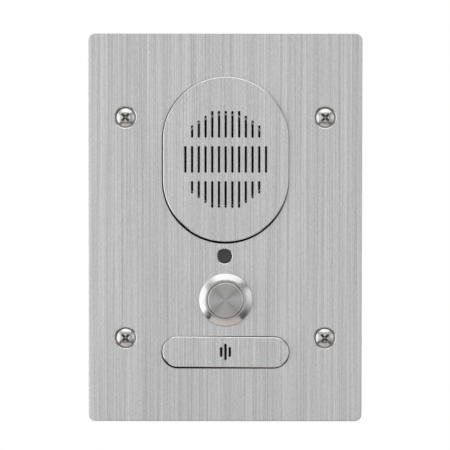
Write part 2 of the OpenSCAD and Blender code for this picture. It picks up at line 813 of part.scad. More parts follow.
module button_housing() {
  color("gainsboro") difference() {
    union() {
      turned(0, button_z) bezel_section();
      ring(0, button_z, bore_r, barrel_d / 2, plate_front, bore_floor);
      ring(0, button_z, stem_r + slide_gap, barrel_d / 2, bore_floor, web_back);
      ring(0, button_z, chamber_r, barrel_d / 2, web_back, barrel_back);
    }
    ring(0, button_z, panel_seal_in_r - thread_gap, panel_seal_out_r + thread_gap,
      plate_front - panel_seal_t - thread_gap, plate_front + thread_gap);
    ring(0, button_z, stem_r - past, seal_groove_r,
      seal_mid - seal_groove_w / 2, seal_mid + seal_groove_w / 2);
  }
}

module button_cap() {
  color("silver") turned(0, button_z) polygon([
    [0, cap_front], [cap_d / 2 - cap_rim_w, cap_front], [cap_d / 2, cap_front + cap_rim_h],
    [cap_d / 2, cap_back], [stem_r, cap_back], [stem_r, plunger_front], [0, plunger_front]
  ]);
}

module button_panel_seal() {
  color("#202022")
    ring(0, button_z, panel_seal_in_r, panel_seal_out_r, plate_front - panel_seal_t, plate_front);
}

module button_shaft_seal() {
  color("#202022") turned(0, button_z)
    translate([stem_r + pin_gap + seal_cord_r, seal_mid]) circle(seal_cord_r);
}

module button_lock_washer() {
  color("lightgray") ring(0, button_z, barrel_d / 2 + pin_gap, washer_r, plate_back, nut_front);
}

module button_nut() {
  color("silver") difference() {
    hexagon(0, button_z, button_nut_af, nut_front, nut_front + nut_t);
    rod(0, button_z, barrel_d / 2 + thread_gap, nut_front - past, nut_front + nut_t + past);
  }
}

module button_plunger() {
  color("ivory") {
    rod(0, button_z, plunger_r, plunger_front, plunger_back);
    rod(0, button_z, plunger_boss_r, plunger_back, plunger_back + plunger_boss_l);
  }
}

module button_contact_ring() {
  color("goldenrod") ring(0, button_z, ring_in_r, ring_out_r, plunger_back, ring_back);
}

// Centre line of the return spring: a straight start, the turns, and a straight end
spring_rings = 8;
spring_steps = spring_turns * spring_rings;
spring_start = plunger_back + spring_wire_d;
spring_climb = spring_l - 2 * spring_wire_d;
spring_points = concat(
  [[spring_r, plunger_back, button_z]],
  [for (i = [0 : spring_steps])
    let (climb = spring_climb * i / spring_steps, a = 360 * i / spring_rings)
    [spring_r * cos(a), spring_start + climb, button_z + spring_r * sin(a)]],
  [[spring_r, spring_back, button_z]]
);
spring_gap = min([for (i = [1 : spring_steps - 3], j = [i + 5 : 1 : spring_steps + 1])
  norm(spring_points[i] - spring_points[j])]) - spring_wire_d;

module button_return_spring() {
  echo(least_gap_between_spring_turns = spring_gap);
  color("whitesmoke") swept_tube(spring_points, spring_wire_d / 2, 6, [1, 0, 0]);
}

module button_base() {
  color("#242426") difference() {
    union() {
      rod(0, button_z, base_plug_r, base_front, base_plug_back);
      rod(0, button_z, base_r, base_plug_back, base_back);
    }
    rod(0, button_z, base_well_r, base_front - past, spring_back);
    for (s = [-1, 1])
      block_at(s * blade_x, button_z, blade_t + 2 * thread_gap, blade_w + 2 * thread_gap,
        base_front - past, base_back + past);
  }
}

module button_terminals() {
  color("goldenrod") for (s = [-1, 1])
    block_at(s * blade_x, button_z, blade_t, blade_w, blade_front, blade_back);
}

// Microphone

module mic_flange_outline() {
  obround(mic_cover_w + 2 * mic_flange, mic_cover_h + 2 * mic_flange);
}

module mic_cover() {
  color("silver") translate([cover_shift, 0, mic_z + mic_lift]) rotate([0, mic_turn, 0]) difference() {
    union() {
      edged_plate(mic_cover_w, mic_cover_h, mic_cover_h / 2, cover_front, flange_back, cover_edge);
      slab(flange_front, flange_back) mic_flange_outline();
    }
    slab(cover_inside, flange_back + past)
      obround(mic_cover_w - 2 * cover_wall, mic_cover_h - 2 * cover_wall);
    slab(cover_front - past, cover_inside + past) for (c = [-1 : 1])
      slot_outline(c * mic_slot_pitch, 0, mic_slot_w, mic_slot_l - abs(c) * mic_slot_step);
  }
}

module mic_cover_seal() {
  color("#262628") translate([0, 0, mic_z]) difference() {
    slab(plate_back, flange_front) mic_flange_outline();
    slab(plate_back - past, flange_front + past) cover_cutout(mic_cover_w, mic_cover_h);
  }
}

module mic_mesh() {
  color("#161618") rod(0, mic_z, mesh_r, cover_inside, boot_front);
}

module mic_boot() {
  color("#1c1c1e") difference() {
    rod(0, mic_z, boot_r, boot_front, flange_back);
    rod(0, mic_z, mic_capsule_d / 2 + thread_gap, capsule_front, flange_back + past);
    rod(0, mic_z, mic_capsule_d / 4, boot_front - past, capsule_front + past);
  }
}

module mic_capsule() {
  color("silver") rod(0, mic_z, mic_capsule_d / 2, capsule_front, capsule_back);
}

module mic_clamp() {
  color("#222224") difference() {
    union() {
      slab(flange_back, bracket_back) {
        translate([0, mic_z]) mic_flange_outline();
        for (s = [-1, 1]) translate([s * mic_stud_x, mic_z]) obround(2 * foot_r, 2 * (mic_stud_dz + foot_r));
      }
      for (p = mic_studs) rod(p[0], p[1], foot_r, plate_back, flange_back);
    }
    rod(0, mic_z, mic_window_r, flange_back - past, bracket_back + past);
    for (p = mic_studs) rod(p[0], p[1], stud_d / 2 + pin_gap, plate_back - past, bracket_back + past);
  }
}

module mic_clamp_nuts() {
  color("lightgray") for (p = mic_studs) difference() {
    hexagon(p[0], p[1], nut_m3_af, bracket_back, bracket_back + nut_m3_t);
    rod(p[0], p[1], stud_d / 2 + thread_gap, bracket_back - past, bracket_back + nut_m3_t + past);
  }
}

// Circuit board

module board_standoffs() {
  color("goldenrod") for (p = bracket_studs) difference() {
    hexagon(p[0], p[1], pillar_af, bracket_back, board_front);
    rod(p[0], p[1], stud_d / 2 + thread_gap, bracket_back - past, bracket_back + pillar_hole);
    rod(p[0], p[1], stud_d / 2 + thread_gap, board_front - pillar_hole, board_front + past);
  }
}

module main_board() {
  color("darkgreen") difference() {
    slab(board_front, board_back) translate([0, (board_top + board_low) / 2])
      outline(board_w, board_top - board_low, board_corner_r);
    for (p = bracket_studs) rod(p[0], p[1], stud_d / 2 + pin_gap, board_front - past, board_back + past);
  }
}

module board_chips() {
  color("#1e1e20") for (c = chips)
    block_at(c[0], speaker_z + c[1], c[2], c[3], board_back, board_back + c[4]);
}

module board_capacitors() {
  color("#2c2c44") for (c = capacitors) rod(c[0], speaker_z + c[1], c[2], board_back, board_back + c[3]);
}

module lead_sockets() {
  color("ivory") {
    for (at = [speaker_socket, mic_socket])
      block_at(at[0], at[1], socket[0], socket[2], board_front - socket[1], board_front);
    block_at(button_socket[0], button_socket[1], socket[0], socket[2], board_back, board_back + socket[1]);
  }
}

module terminal_block() {
  block_back = board_back + block[1];
  color("seagreen") difference() {
    block_at(0, block_z, block[0], block[2], board_back, block_back);
    for (way = [0 : block_ways - 1]) {
      x = (way - (block_ways - 1) / 2) * block_pitch;
      rod(x, block_z, block_screw_r + pin_gap,
        block_back - block_screw_sink - block_screw_l, block_back + past);
      translate([x - block_entry[0] / 2, board_back + block_entry_rise, block_z - block[2] / 2 - past])
        cube(block_entry);
    }
  }
}

module terminal_screws() {
  screw_back = board_back + block[1] - block_screw_sink;
  color("lightgray") for (way = [0 : block_ways - 1]) {
    x = (way - (block_ways - 1) / 2) * block_pitch;
    difference() {
      rod(x, block_z, block_screw_r, screw_back - block_screw_l, screw_back);
      block_at(x, block_z, 2 * block_screw_r + past, block_slot_w,
        screw_back - block_slot_h, screw_back + past);
    }
  }
}

module cover_standoffs() {
  color("goldenrod") for (p = bracket_studs) difference() {
    union() {
      hexagon(p[0], p[1], pillar_af, board_back, tub_floor);
      rod(p[0], p[1], stud_d / 2, board_front - stud_grip, board_back);
    }
    rod(p[0], p[1], stud_d / 2 + thread_gap, tub_floor - pillar_hole, tub_floor + past);
  }
}

// Rear tub

module rear_cover() {
  color("#1f1f21") difference() {
    translate([0, 0, tub_mid_z]) edged_plate(tub_w, tub_h, tub_corner_r, 0, tub_back, 0, tub_edge);
    slab(-past, tub_floor) translate([0, tub_mid_z])
      outline(tub_inner_w, tub_inner_h, max(tub_corner_r - tub_wall, 0.5));
    for (p = bracket_studs) rod(p[0], p[1], stud_d / 2 + 0.2, tub_floor - past, tub_back + past);
    rod(0, entry_z, grommet_hole_d / 2, tub_floor - past, tub_back + past);
    slab(tub_back - panel_sink, tub_back + past) translate([0, speaker_z])
      outline(panel_w, panel_h, panel_corner_r);
  }
}

module rear_cover_seal() {
  color("#2b2b2d") translate([0, 0, tub_mid_z]) difference() {
    slab(plate_back, 0) outline(tub_w, tub_h, tub_corner_r);
    slab(plate_back - past, past) outline(tub_inner_w, tub_inner_h, max(tub_corner_r - tub_wall, 0.5));
  }
}

module rear_cover_screws() {
  head_back = tub_back + tub_screw_head_h;
  color("lightgray") for (p = bracket_studs) difference() {
    union() {
      intersection() {
        rod(p[0], p[1], tub_screw_head_r, tub_back, head_back);
        translate([p[0], head_back - tub_screw_dome_r, p[1]]) sphere(tub_screw_dome_r);
      }
      rod(p[0], p[1], stud_d / 2, tub_floor - stud_grip, tub_back);
    }
    mirror([0, 1, 0])
      cross_recess(p[0], p[1], tub_screw_recess[0], tub_screw_recess[1], tub_screw_recess[2], -head_back, 0);
  }
}

module cable_grommet() {
  color("#171719") difference() {
    union() {
      rod(0, entry_z, grommet_lip_r, tub_floor - grommet_lip_t, tub_floor);
      rod(0, entry_z, grommet_hole_d / 2 - pin_gap, tub_floor, tub_back);
      rod(0, entry_z, grommet_lip_r, tub_back, tub_back + grommet_lip_t);
    }
    rod(0, entry_z, grommet_bore_d / 2, tub_floor - grommet_lip_t - past, tub_back + grommet_lip_t + past);
  }
}

// Leads between the works and the circuit board

module speaker_leads() {
  tag_x = -(tag_out_r - 1.2);
  color("firebrick") for (s = [-1, 1])
    swept_tube(lead_route(
      [tag_x, tag_front + tag_t, speaker_z + s * tag_w / 4], [0, speaker_lead_bend[0], 0],
      [speaker_socket[0], board_front - socket[1], speaker_socket[1] + s * socket_pin_pitch / 2],
      [0, speaker_lead_bend[1], 0]), lead_r, lead_sides, [0, 0, 1]);
}

module button_leads() {
  socket_y = board_back + socket[1] / 2;
  socket_low = button_socket[1] - socket[2] / 2;
  color("#2d2d30") {
    swept_tube(lead_route(
      [blade_x, blade_back, button_z], [0, button_lead_bend[0], 0],
      [button_socket[0] - 0.6 * socket_pin_pitch, socket_y - 0.4 * socket_pin_pitch, socket_low],
      [0, 0, button_lead_bend[1]]), lead_r, lead_sides, [1, 0, 0]);
    swept_tube(lead_route(
      [-blade_x, blade_back, button_z], [0, button_far_lead_bend[0], 0],
      [button_socket[0] + 0.6 * socket_pin_pitch, socket_y + 0.4 * socket_pin_pitch, socket_low],
      [0, 0, button_far_lead_bend[1]]), lead_r, lead_sides, [1, 0, 0]);
  }
}

module mic_lead() {
  color("dimgray") swept_tube(lead_route(
    [0, capsule_back, mic_z], [0, mic_lead_bend[0], 0],
    [mic_socket[0], board_front - socket[1] / 2, mic_socket[1] - socket[2] / 2],
    [0, 0, mic_lead_bend[1]]), mic_lead_r, lead_sides, [1, 0, 0]);
}

faceplate();
faceplate_gasket();
faceplate_screws();
faceplate_studs();
speaker_cover();
speaker_cover_seal();
speaker_gasket();
speaker_frame();
speaker_surround();
speaker_cone();
speaker_dust_cap();
voice_coil();
speaker_spider();
speaker_top_plate();
speaker_magnet();
speaker_yoke();
inner_bracket();
status_lens();
status_led();
button_housing();
button_cap();
button_panel_seal();
button_shaft_seal();
button_lock_washer();
button_nut();
button_plunger();
button_contact_ring();
button_return_spring();
button_base();
button_terminals();
mic_cover();
mic_cover_seal();
mic_mesh();
mic_boot();
mic_capsule();
mic_clamp();
mic_clamp_nuts();
board_standoffs();
main_board();
board_chips();
board_capacitors();
lead_sockets();
terminal_block();
terminal_screws();
cover_standoffs();
rear_cover();
rear_cover_seal();
rear_cover_screws();
cable_grommet();
speaker_leads();
button_leads();
mic_lead();
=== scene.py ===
import json
from math import cos, hypot, pi, radians, sin, sqrt

import bmesh
import bpy
from mathutils import Matrix, Quaternion, Vector

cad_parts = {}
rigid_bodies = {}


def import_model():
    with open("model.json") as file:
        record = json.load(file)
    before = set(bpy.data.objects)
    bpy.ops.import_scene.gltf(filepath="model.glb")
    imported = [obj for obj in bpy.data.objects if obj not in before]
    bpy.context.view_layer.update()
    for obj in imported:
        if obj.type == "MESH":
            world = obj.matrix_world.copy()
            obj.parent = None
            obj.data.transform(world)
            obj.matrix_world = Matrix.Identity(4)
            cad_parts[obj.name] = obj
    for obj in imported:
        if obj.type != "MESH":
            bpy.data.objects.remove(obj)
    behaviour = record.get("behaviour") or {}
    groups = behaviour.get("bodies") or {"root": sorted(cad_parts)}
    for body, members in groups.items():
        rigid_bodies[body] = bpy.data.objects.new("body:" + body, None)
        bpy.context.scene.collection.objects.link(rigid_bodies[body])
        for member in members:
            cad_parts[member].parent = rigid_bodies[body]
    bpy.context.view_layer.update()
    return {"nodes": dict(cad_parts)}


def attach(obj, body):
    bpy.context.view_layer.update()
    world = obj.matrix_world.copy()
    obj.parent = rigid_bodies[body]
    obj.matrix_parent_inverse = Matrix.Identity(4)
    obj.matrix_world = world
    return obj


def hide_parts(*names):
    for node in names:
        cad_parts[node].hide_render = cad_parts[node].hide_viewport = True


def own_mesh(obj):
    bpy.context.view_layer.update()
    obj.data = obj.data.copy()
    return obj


for leftover in list(bpy.data.objects):
    bpy.data.objects.remove(leftover)
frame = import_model()
scene = bpy.context.scene


# Faceplate: one sheet of stainless steel, 2.5 mm thick, the size of a three-gang wall plate, brushed upright. It is
# lofted from its pressed edge and the wall of each hole, and the brushing belt has worn its two sides down.
# Sizes are in millimetres, from the wall's face at depth 0, with the front at negative depths.
FACE, PLATE_BACK = -4.1, -1.6
SPEAKER_Z, LENS_X, LENS_Z, BUTTON_X, BUTTON_Z, MIC_Z = 28.2, -0.23, -11.83, 0.15, -30.1, -52.0
WALL_SCREW_X, WALL_SCREW_Z = 83.3, 92.1
WALL_SCREWS = [(x * WALL_SCREW_X / 2, z * WALL_SCREW_Z / 2) for x in (-1, 1) for z in (-1, 1)]


def from_screw(x, z):
    """How far a place is from the axis of the nearest wall screw."""
    return hypot(abs(x) - WALL_SCREW_X / 2, abs(z) - WALL_SCREW_Z / 2)


def rounded(width, height, corner, x=0.0, z=0.0, steps=10):
    """An outline with round corners: each point as the middle of its arc, the arc's radius and the way out."""
    outline = []
    for quarter, (across, up) in enumerate(((1, 1), (-1, 1), (-1, -1), (1, -1))):
        middle = x + across * (width / 2 - corner), z + up * (height / 2 - corner)
        for step in range(steps + 1):
            turn = pi / 2 * (quarter + step / steps)
            point = (*middle, corner, cos(turn), sin(turn))
            if step or not outline or hypot(middle[0] - outline[-1][0], middle[1] - outline[-1][1]) > 1e-6:
                outline.append(point)
    if hypot(outline[0][0] - outline[-1][0], outline[0][1] - outline[-1][1]) < 1e-6:
        outline.pop()
    return outline


def circle(radius, x=0.0, z=0.0, steps=10):
    """A round outline, with this many steps to a quarter."""
    return rounded(2 * radius, 2 * radius, radius, x, z, steps)


def rings(outline, *steps):
    """Rings of points along an outline, one for each step: how far it is grown, and its depth."""
    return [[(x + (r + grow) * c, depth, z + (r + grow) * s) for x, z, r, c, s in outline] for grow, depth in steps]


def rolled(radius, face, into, side, parts=4):
    """Steps of a quarter-round edge from a face to a wall. side is -1 on an outer edge and 1 round a hole."""
    turns = [pi / 2 * part / parts for part in range(parts + 1)]
    return [(side * radius * (1 - sin(t)), face + into * radius * (1 - cos(t))) for t in turns]


def pierced(walls, pockets=()):
    """A closed solid from walls of rings, which run from its first face to its last. A pocket has its own floor.
    Its walls are shaded smooth and its two faces flat."""
    solid = bmesh.new()
    faces = [], []
    for number, wall in enumerate([*walls, *pockets]):
        loops = [[solid.verts.new(point) for point in one] for one in wall]
        for a, b in zip(loops, loops[1:]):
            for i in range(len(a)):
                solid.faces.new((a[i - 1], a[i], b[i], b[i - 1])).smooth = True
        for face, loop in zip(faces, (loops[0], loops[-1])):
            if face is faces[1] and number >= len(walls):
                solid.faces.new(loop)
            else:
                face.extend(solid.edges.get((loop[i - 1], loop[i])) for i in range(len(loop)))
    for edges in faces:
        bmesh.ops.triangle_fill(solid, use_beauty=True, edges=edges)
    bmesh.ops.recalc_face_normals(solid, faces=solid.faces)
    return solid


def linear(code):
    """A colour written as sRGB hex, in the linear values that Blender works with."""
    parts = [int(code[i:i + 2], 16) / 255 for i in (0, 2, 4)]
    return [p / 12.92 if p <= 0.04045 else ((p + 0.055) / 1.055) ** 2.4 for p in parts] + [1.0]


def wire(node, inputs):
    """Sets a node's inputs by name or number, to a value or from another node's output."""
    for socket, value in inputs.items():
        if isinstance(value, bpy.types.NodeSocket):
            node.id_data.links.new(value, node.inputs[socket])
        else:
            node.inputs[socket].default_value = value
    return node


def add(tree, kind, inputs={}, out=0, **settings):
    """Adds a node of a kind that shader trees know, or else geometry trees, and gives one of its outputs."""
    family = "ShaderNode" if hasattr(bpy.types, "ShaderNode" + kind) else "GeometryNode"
    node = tree.nodes.new(family + kind)
    for setting, value in settings.items():
        setattr(node, setting, value)
    return wire(node, inputs).outputs[out]


def finish(name, constants):
    """A material with these constants on its shader, its node tree, and the place of each point in metres."""
    made = bpy.data.materials.new(name)
    made.use_nodes = True
    tree = made.node_tree
    shader = wire(tree.nodes["Principled BSDF"], constants)
    return made, tree, shader, add(tree, "TexCoord", out="Object")


def toned(shader, pattern, dark, light, rough=None, relief=None, fine=None):
    """Colours a finish from dark to light over a pattern. rough is its range of roughness, and relief the strength
    and the height in millimetres of its bumps. Both follow the same pattern, or a finer one."""
    tree, fine = shader.id_data, fine or pattern
    parts = {"Base Color": add(tree, "Mix", {0: pattern, 6: linear(dark), 7: linear(light)}, data_type="RGBA", out=2)}
    if rough:
        parts["Roughness"] = add(tree, "MapRange", {"Value": fine, "To Min": rough[0], "To Max": rough[1]})
    if relief:
        parts["Normal"] = add(tree, "Bump", {"Height": fine, "Strength": relief[0], "Distance": relief[1] / 1000})
    wire(shader, parts)


def grained(name, constants, kind, pattern, *tones, stretch=None, out=0, **relief):
    """A finish whose tones, roughness and bumps follow one pattern, which may be stretched along a grain."""
    made, tree, shader, place = finish(name, constants)
    if stretch:
        place = add(tree, "Mapping", {"Vector": place, "Scale": stretch})
    toned(shader, add(tree, kind, {"Vector": place, **pattern}, out=out), *tones, **relief)
    return made


def creased(mesh, angle):
    """Marks a hard line along edges sharper than this angle, and keeps flat faces flat."""
    smooth = [face.use_smooth for face in mesh.polygons]
    mesh.set_sharp_from_angle(angle=radians(angle))
    mesh.polygons.foreach_set("use_smooth", smooth)


def placed(name, data):
    """A new object in the scene."""
    made = bpy.data.objects.new(name, data)
    scene.collection.objects.link(made)
    return made


def shaped(name, solid, material, crease=30):
    """Turns a solid in millimetres into an object in metres, with a hard line at edges sharper than crease."""
    bmesh.ops.scale(solid, vec=(0.001, 0.001, 0.001), verts=solid.verts)
    mesh = bpy.data.meshes.new(name)
    solid.to_mesh(mesh)
    solid.free()
    creased(mesh, crease)
    mesh.materials.append(material)
    return placed(name, mesh)


def stands_for(made, node, body="station"):
    """The piece moves with this body and is shown in place of this CAD node."""
    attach(made, body)
    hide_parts(node)


def brush_map(made):
    """A flat map of the piece's front, from which its finish takes the way across the brush marks."""
    layer = made.data.uv_layers.new(name="brush")
    for loop in made.data.loops:
        x, _, z = made.data.vertices[loop.vertex_index].co
        layer.data[loop.index].uv = x * 5, z * 5


def refinished(made, material, chosen):
    """Gives the faces whose middle is chosen, by its place in millimetres, another finish."""
    made.data.materials.append(material)
    for face in made.data.polygons:
        if chosen(*(face.center * 1000)):
            face.material_index = len(made.data.materials) - 1


# Brushed stainless steel: upright scratches about 0.2 mm wide and 110 mm long, over broad bands of the belt's wear.
brushed_steel, tree, shader, place = finish("brushed_stainless_steel", {"Metallic": 1.0, "Anisotropic": 0.95})
scratch, band, fleck = [add(tree, "TexNoise", {
    "Vector": add(tree, "Mapping", {"Vector": place, "Scale": stretch}), "Scale": 1, "Detail": detail,
    "Roughness": harsh})
    for stretch, detail, harsh in (((6500, 6500, 9), 2, 0.6), ((420, 420, 5), 2, 0.5), ((5200, 5200, 950), 1, 0.5))]
worn = add(tree, "Math", {0: scratch, 1: 0.8}, operation="MULTIPLY")
worn = add(tree, "Math", {0: band, 1: 0.2, 2: worn}, operation="MULTIPLY_ADD")
tone = add(tree, "Math", {0: fleck, 1: 0.3, 2: worn}, operation="MULTIPLY_ADD")
shade = add(tree, "MapRange", {"Value": tone, "From Min": 0.44, "From Max": 0.88})
toned(shader, shade, "B4B4B4", "FAFAFA", (0.46, 0.56), (0.25, 0.02), scratch)
wire(shader, {"Tangent": add(tree, "Tangent", direction_type="UV_MAP", uv_map="brush")})

# Polished stainless steel: nearly a mirror, with faint wiping marks about 3 mm across and hair scratches.
polished_steel, tree, shader, place = finish("polished_stainless_steel", {"Metallic": 1.0})
wipe = add(tree, "TexNoise", {"Vector": place, "Scale": 330, "Detail": 3})
hair_place = add(tree, "Mapping", {"Vector": place, "Scale": (900, 900, 7000), "Rotation": (0, 0.5, 0)})
hair = add(tree, "TexNoise", {"Vector": hair_place, "Scale": 1, "Detail": 2})
toned(shader, wipe, "C2C1C0", "D6D6D6", (0.1, 0.2))
wire(shader, {"Normal": add(tree, "Bump", {"Height": hair, "Strength": 0.08, "Distance": 0.00001})})

# Cut steel as a cutter or a forging punch leaves it in a recess, with fine chatter about 0.1 mm apart. Its dark grey is
# painted shade for the countersinks and screw recesses.
recess_shade_steel = grained(
    "cut_steel_painted_shade", {"Metallic": 1.0}, "TexNoise", {"Scale": 9000, "Detail": 3}, "8C8A88", "B0AEAC", (0.35, 0.5))

PLATE_W, PLATE_H, PLATE_CORNER, FRONT_ROLL, BACK_ROLL, HOLE_ROLL = 114.3, 161.9, 3, 0.28, 0.12, 0.06
SIDE_ROLL, SIDE_DROP, SIDE_CURVE, LENS_HOLE_R, SINK_R = 2.0, 0.38, 1.6, 3.1, 4.4
front_edge = [(-SIDE_ROLL, FACE), (-1.5, FACE), (-1.1, FACE), (-0.7, FACE), *rolled(FRONT_ROLL, FACE, 1, -1)]
plate_edge = rings(
    rounded(PLATE_W, PLATE_H, PLATE_CORNER), *front_edge, *reversed(rolled(BACK_ROLL, PLATE_BACK, -1, -1)))
for ring in plate_edge[:len(front_edge)]:
    ring[:] = [(x, y + SIDE_DROP * max(0, (abs(x) - PLATE_W / 2) / SIDE_ROLL + 1) ** SIDE_CURVE, z)
               for x, y, z in ring]
plate_walls = [plate_edge]
for width, height, x, z, steps in (
        (53.0, 69.65, 0, SPEAKER_Z, 24), (53.56, 13.5, 0.12, MIC_Z - 0.09, 14), (19.2, 19.2, BUTTON_X, BUTTON_Z, 12)):
    plate_walls.append(rings(
        rounded(width, height, min(width, height) / 2, x, z, steps), *rolled(HOLE_ROLL, FACE, 1, 1), (0, PLATE_BACK)))
plate_walls.append(rings(circle(LENS_HOLE_R, LENS_X, LENS_Z), (0.36, FACE), (0.31, FACE + 0.015), (
    0.06, FACE + 0.14), (0, FACE + 0.22), (0, PLATE_BACK)))
for x, z in WALL_SCREWS:
    plate_walls.append(rings(circle(SINK_R, x, z), (0.4, FACE), (0.35, FACE + 0.012), (0.05, FACE + 0.15), (
        0, FACE + 0.22), (0, FACE + 0.7), (-1.8, PLATE_BACK)))
faceplate = shaped("brushed_faceplate", pierced(plate_walls), brushed_steel)
brush_map(faceplate)
refinished(faceplate, polished_steel, lambda x, y, z: FACE + 0.001 < y < FACE + 0.21 and (
    from_screw(x, z) < SINK_R + 0.4 or hypot(x - LENS_X, z - LENS_Z) < LENS_HOLE_R + 0.5))
# Painted shade: the countersinks' walls take the darker steel.
refinished(faceplate, recess_shade_steel, lambda x, y, z: (
    FACE + 0.21 < y < PLATE_BACK - 0.01 and from_screw(x, z) < SINK_R + 0.4))
stands_for(faceplate, "faceplate")


# Faceplate gasket: a frame of black closed-cell foam between the plate and the wall, cut from a 1.6 mm sheet.
# Its cut edges are slightly rounded, and it is open for the tub and for the four screws.
def foam_frame(name, node, outer, holes, front, back, roll=0.12, parts=3, low=-1000.0):
    """A foam frame with holes and slightly rounded cut edges, shown in place of this CAD node. low cuts it off flat."""
    edge = [*rolled(roll, front, 1, -1, parts), *reversed(rolled(roll, back, -1, -1, parts))]
    walls = [rings(outer, *edge)] + [rings(hole, *[(-grow, depth) for grow, depth in edge]) for hole in holes]
    for ring in walls[0]:
        ring[:] = [(x, y, max(z, low)) for x, y, z in ring]
    made = shaped(name, pierced(walls), foam)
    stands_for(made, node)


# Closed-cell foam: matt black, with cells 0.4 mm wide that leave it slightly mottled and without shine.
foam = grained(
    "closed_cell_foam", {"Roughness": 0.95, "IOR": 1.5, "Specular IOR Level": 0.25}, "TexVoronoi", {"Scale": 2600},
    "0D0D0F", "232326", relief=(0.6, 0.1), out="Distance")
TUB_W, TUB_H, TUB_Z, TUB_CORNER = 66.0, 139.78, -0.91, 5.0
GASKET_W, GASKET_H, GASKET_CORNER, GASKET_HOLE_R = 111.3, 158.9, 1.5, 3
gasket_holes = [rounded(TUB_W + 2, TUB_H + 2, TUB_CORNER + 1, 0, TUB_Z)]
gasket_holes += [circle(GASKET_HOLE_R, x, z) for x, z in WALL_SCREWS]
foam_frame("foam_faceplate_gasket", "faceplate_gasket", rounded(GASKET_W, GASKET_H, GASKET_CORNER), gasket_holes,
           PLATE_BACK, 0, roll=0.3, parts=4)


# Wall screws: four oval-head steel screws, polished, sunk in the plate with their cross recesses at about 45 degrees.
# One is turned with its thread and its recess cut, and a node tree sets it at the corners of the screw pattern.
def turned(section, x=0.0, z=0.0, sides=64):
    """A solid turned from (radius, depth) points of its half section, where a radius may change with the angle.
    It is closed at its ends on the axis, or back to its first point. Its map runs along the section and round."""
    solid = bmesh.new()
    spin = solid.loops.layers.uv.new("spin")
    loops = []
    for radius, depth in section:
        if radius == 0:
            loops.append([solid.verts.new((x, depth, z))])
            continue
        turns = [2 * pi * i / sides for i in range(sides)]
        radii = [radius(t) if callable(radius) else radius for t in turns]
        loops.append([solid.verts.new((x + r * cos(t), depth, z + r * sin(t))) for r, t in zip(radii, turns)])
    if len(loops[0]) > 1:
        loops.append(loops[0])
    along = 0.0
    for a, b in zip(loops, loops[1:]):
        reach = along + (a[0].co - b[0].co).length
        for i in range(sides):
            corners = {}
            for loop, distance in ((a, along), (b, reach)):
                for column in ((i, i + 1) if loop is a else (i + 1, i)):
                    corners.setdefault(loop[column % len(loop)], (distance * 0.05, column / sides))
            face = solid.faces.new(corners)
            face.smooth = True
            for corner in face.loops:
                corner[spin].uv = corners[corner.vert]
        along = reach
    bmesh.ops.recalc_face_normals(solid, faces=solid.faces)
    return solid


def thread(root, crest, pitch, start, end, parts=6):
    """Section points of a screw thread, which runs out at both ends."""
    count = round((end - start) / pitch * parts)
    points = []
    for i in range(count + 1):
        depth = start + (end - start) * i / count
        height = (crest - root) * min(1, i / parts, (count - i) / parts)
        points.append((lambda t, d=depth, h=height: root + h * abs((t / pi - 2 * d / pitch) % 2 - 1), depth))
    return points


def cross_recess(face, depth, reach, width, angle, axis):
    """The tool for a cross recess, tapered to its floor, and turned by an angle in degrees."""
    tool = []
    for grow, y in ((1.15, face - 0.4), (1.0, face), (0.8, face + 0.35), (0.16, face + depth)):
        a, b = reach * grow, width / 2 * (0.5 + 0.5 * grow)
        tool.append([(x, y, z) for x, z in (
            (a, -b), (a, b), (b, b), (b, a), (-b, a), (-b, b),
            (-a, b), (-a, -b), (-b, -b), (-b, -a), (b, -a), (b, -b))])
    solid = pierced([tool])
    bmesh.ops.rotate(solid, verts=solid.verts, cent=(0, 0, 0), matrix=Matrix.Rotation(radians(angle), 3, axis))
    return solid


def applied(made):
    """Keeps a piece's mesh as its modifiers leave it."""
    mesh = bpy.data.meshes.new_from_object(made.evaluated_get(bpy.context.evaluated_depsgraph_get()))
    made.modifiers.clear()
    made.data = mesh
    return made


def cut(made, tool):
    """Cuts a tool out of a piece and takes the tool away."""
    modifier = made.modifiers.new("cut", "BOOLEAN")
    modifier.operation, modifier.solver, modifier.object = "DIFFERENCE", "EXACT", tool
    applied(made)
    creased(made.data, 30)
    bpy.data.objects.remove(tool)


def node_group(name, sockets):
    """A Geometry Nodes tree with these named inputs beside its geometry: the tree, its inputs and its output."""
    group = bpy.data.node_groups.new(name, "GeometryNodeTree")
    for label, kind in {"Geometry": "Geometry", **sockets}.items():
        group.interface.new_socket(label, in_out="INPUT", socket_type="NodeSocket" + kind)
    group.interface.new_socket("Geometry", in_out="OUTPUT", socket_type="NodeSocketGeometry")
    return group, group.nodes.new("NodeGroupInput").outputs, group.nodes.new("NodeGroupOutput")


def grown(made, group, **values):
    """Runs a tree on a piece with these inputs and keeps the plain mesh."""
    modifier = made.modifiers.new(group.name, "NODES")
    modifier.node_group = group
    for item in group.interface.items_tree:
        if item.in_out == "INPUT" and item.name in values:
            modifier[item.identifier] = values[item.name]
    return applied(made)


tree, given, result = node_group("screw_pattern", {
    "Across": "Float", "Up": "Float", "Middle": "Vector", "Material": "Material"})
corners = add(tree, "MeshGrid", {
    "Size X": given["Across"], "Size Y": given["Up"], "Vertices X": 2, "Vertices Y": 2}, out="Mesh")
corners = add(tree, "Transform", {
    "Geometry": corners, "Translation": given["Middle"], "Rotation": (pi / 2, 0, 0)})
screws = add(tree, "InstanceOnPoints", {"Points": corners, "Instance": given["Geometry"]})
screws = add(tree, "RealizeInstances", {"Geometry": screws})
wire(result, {"Geometry": add(tree, "SetMaterial", {"Geometry": screws, "Material": given["Material"]})})
screw_set = tree

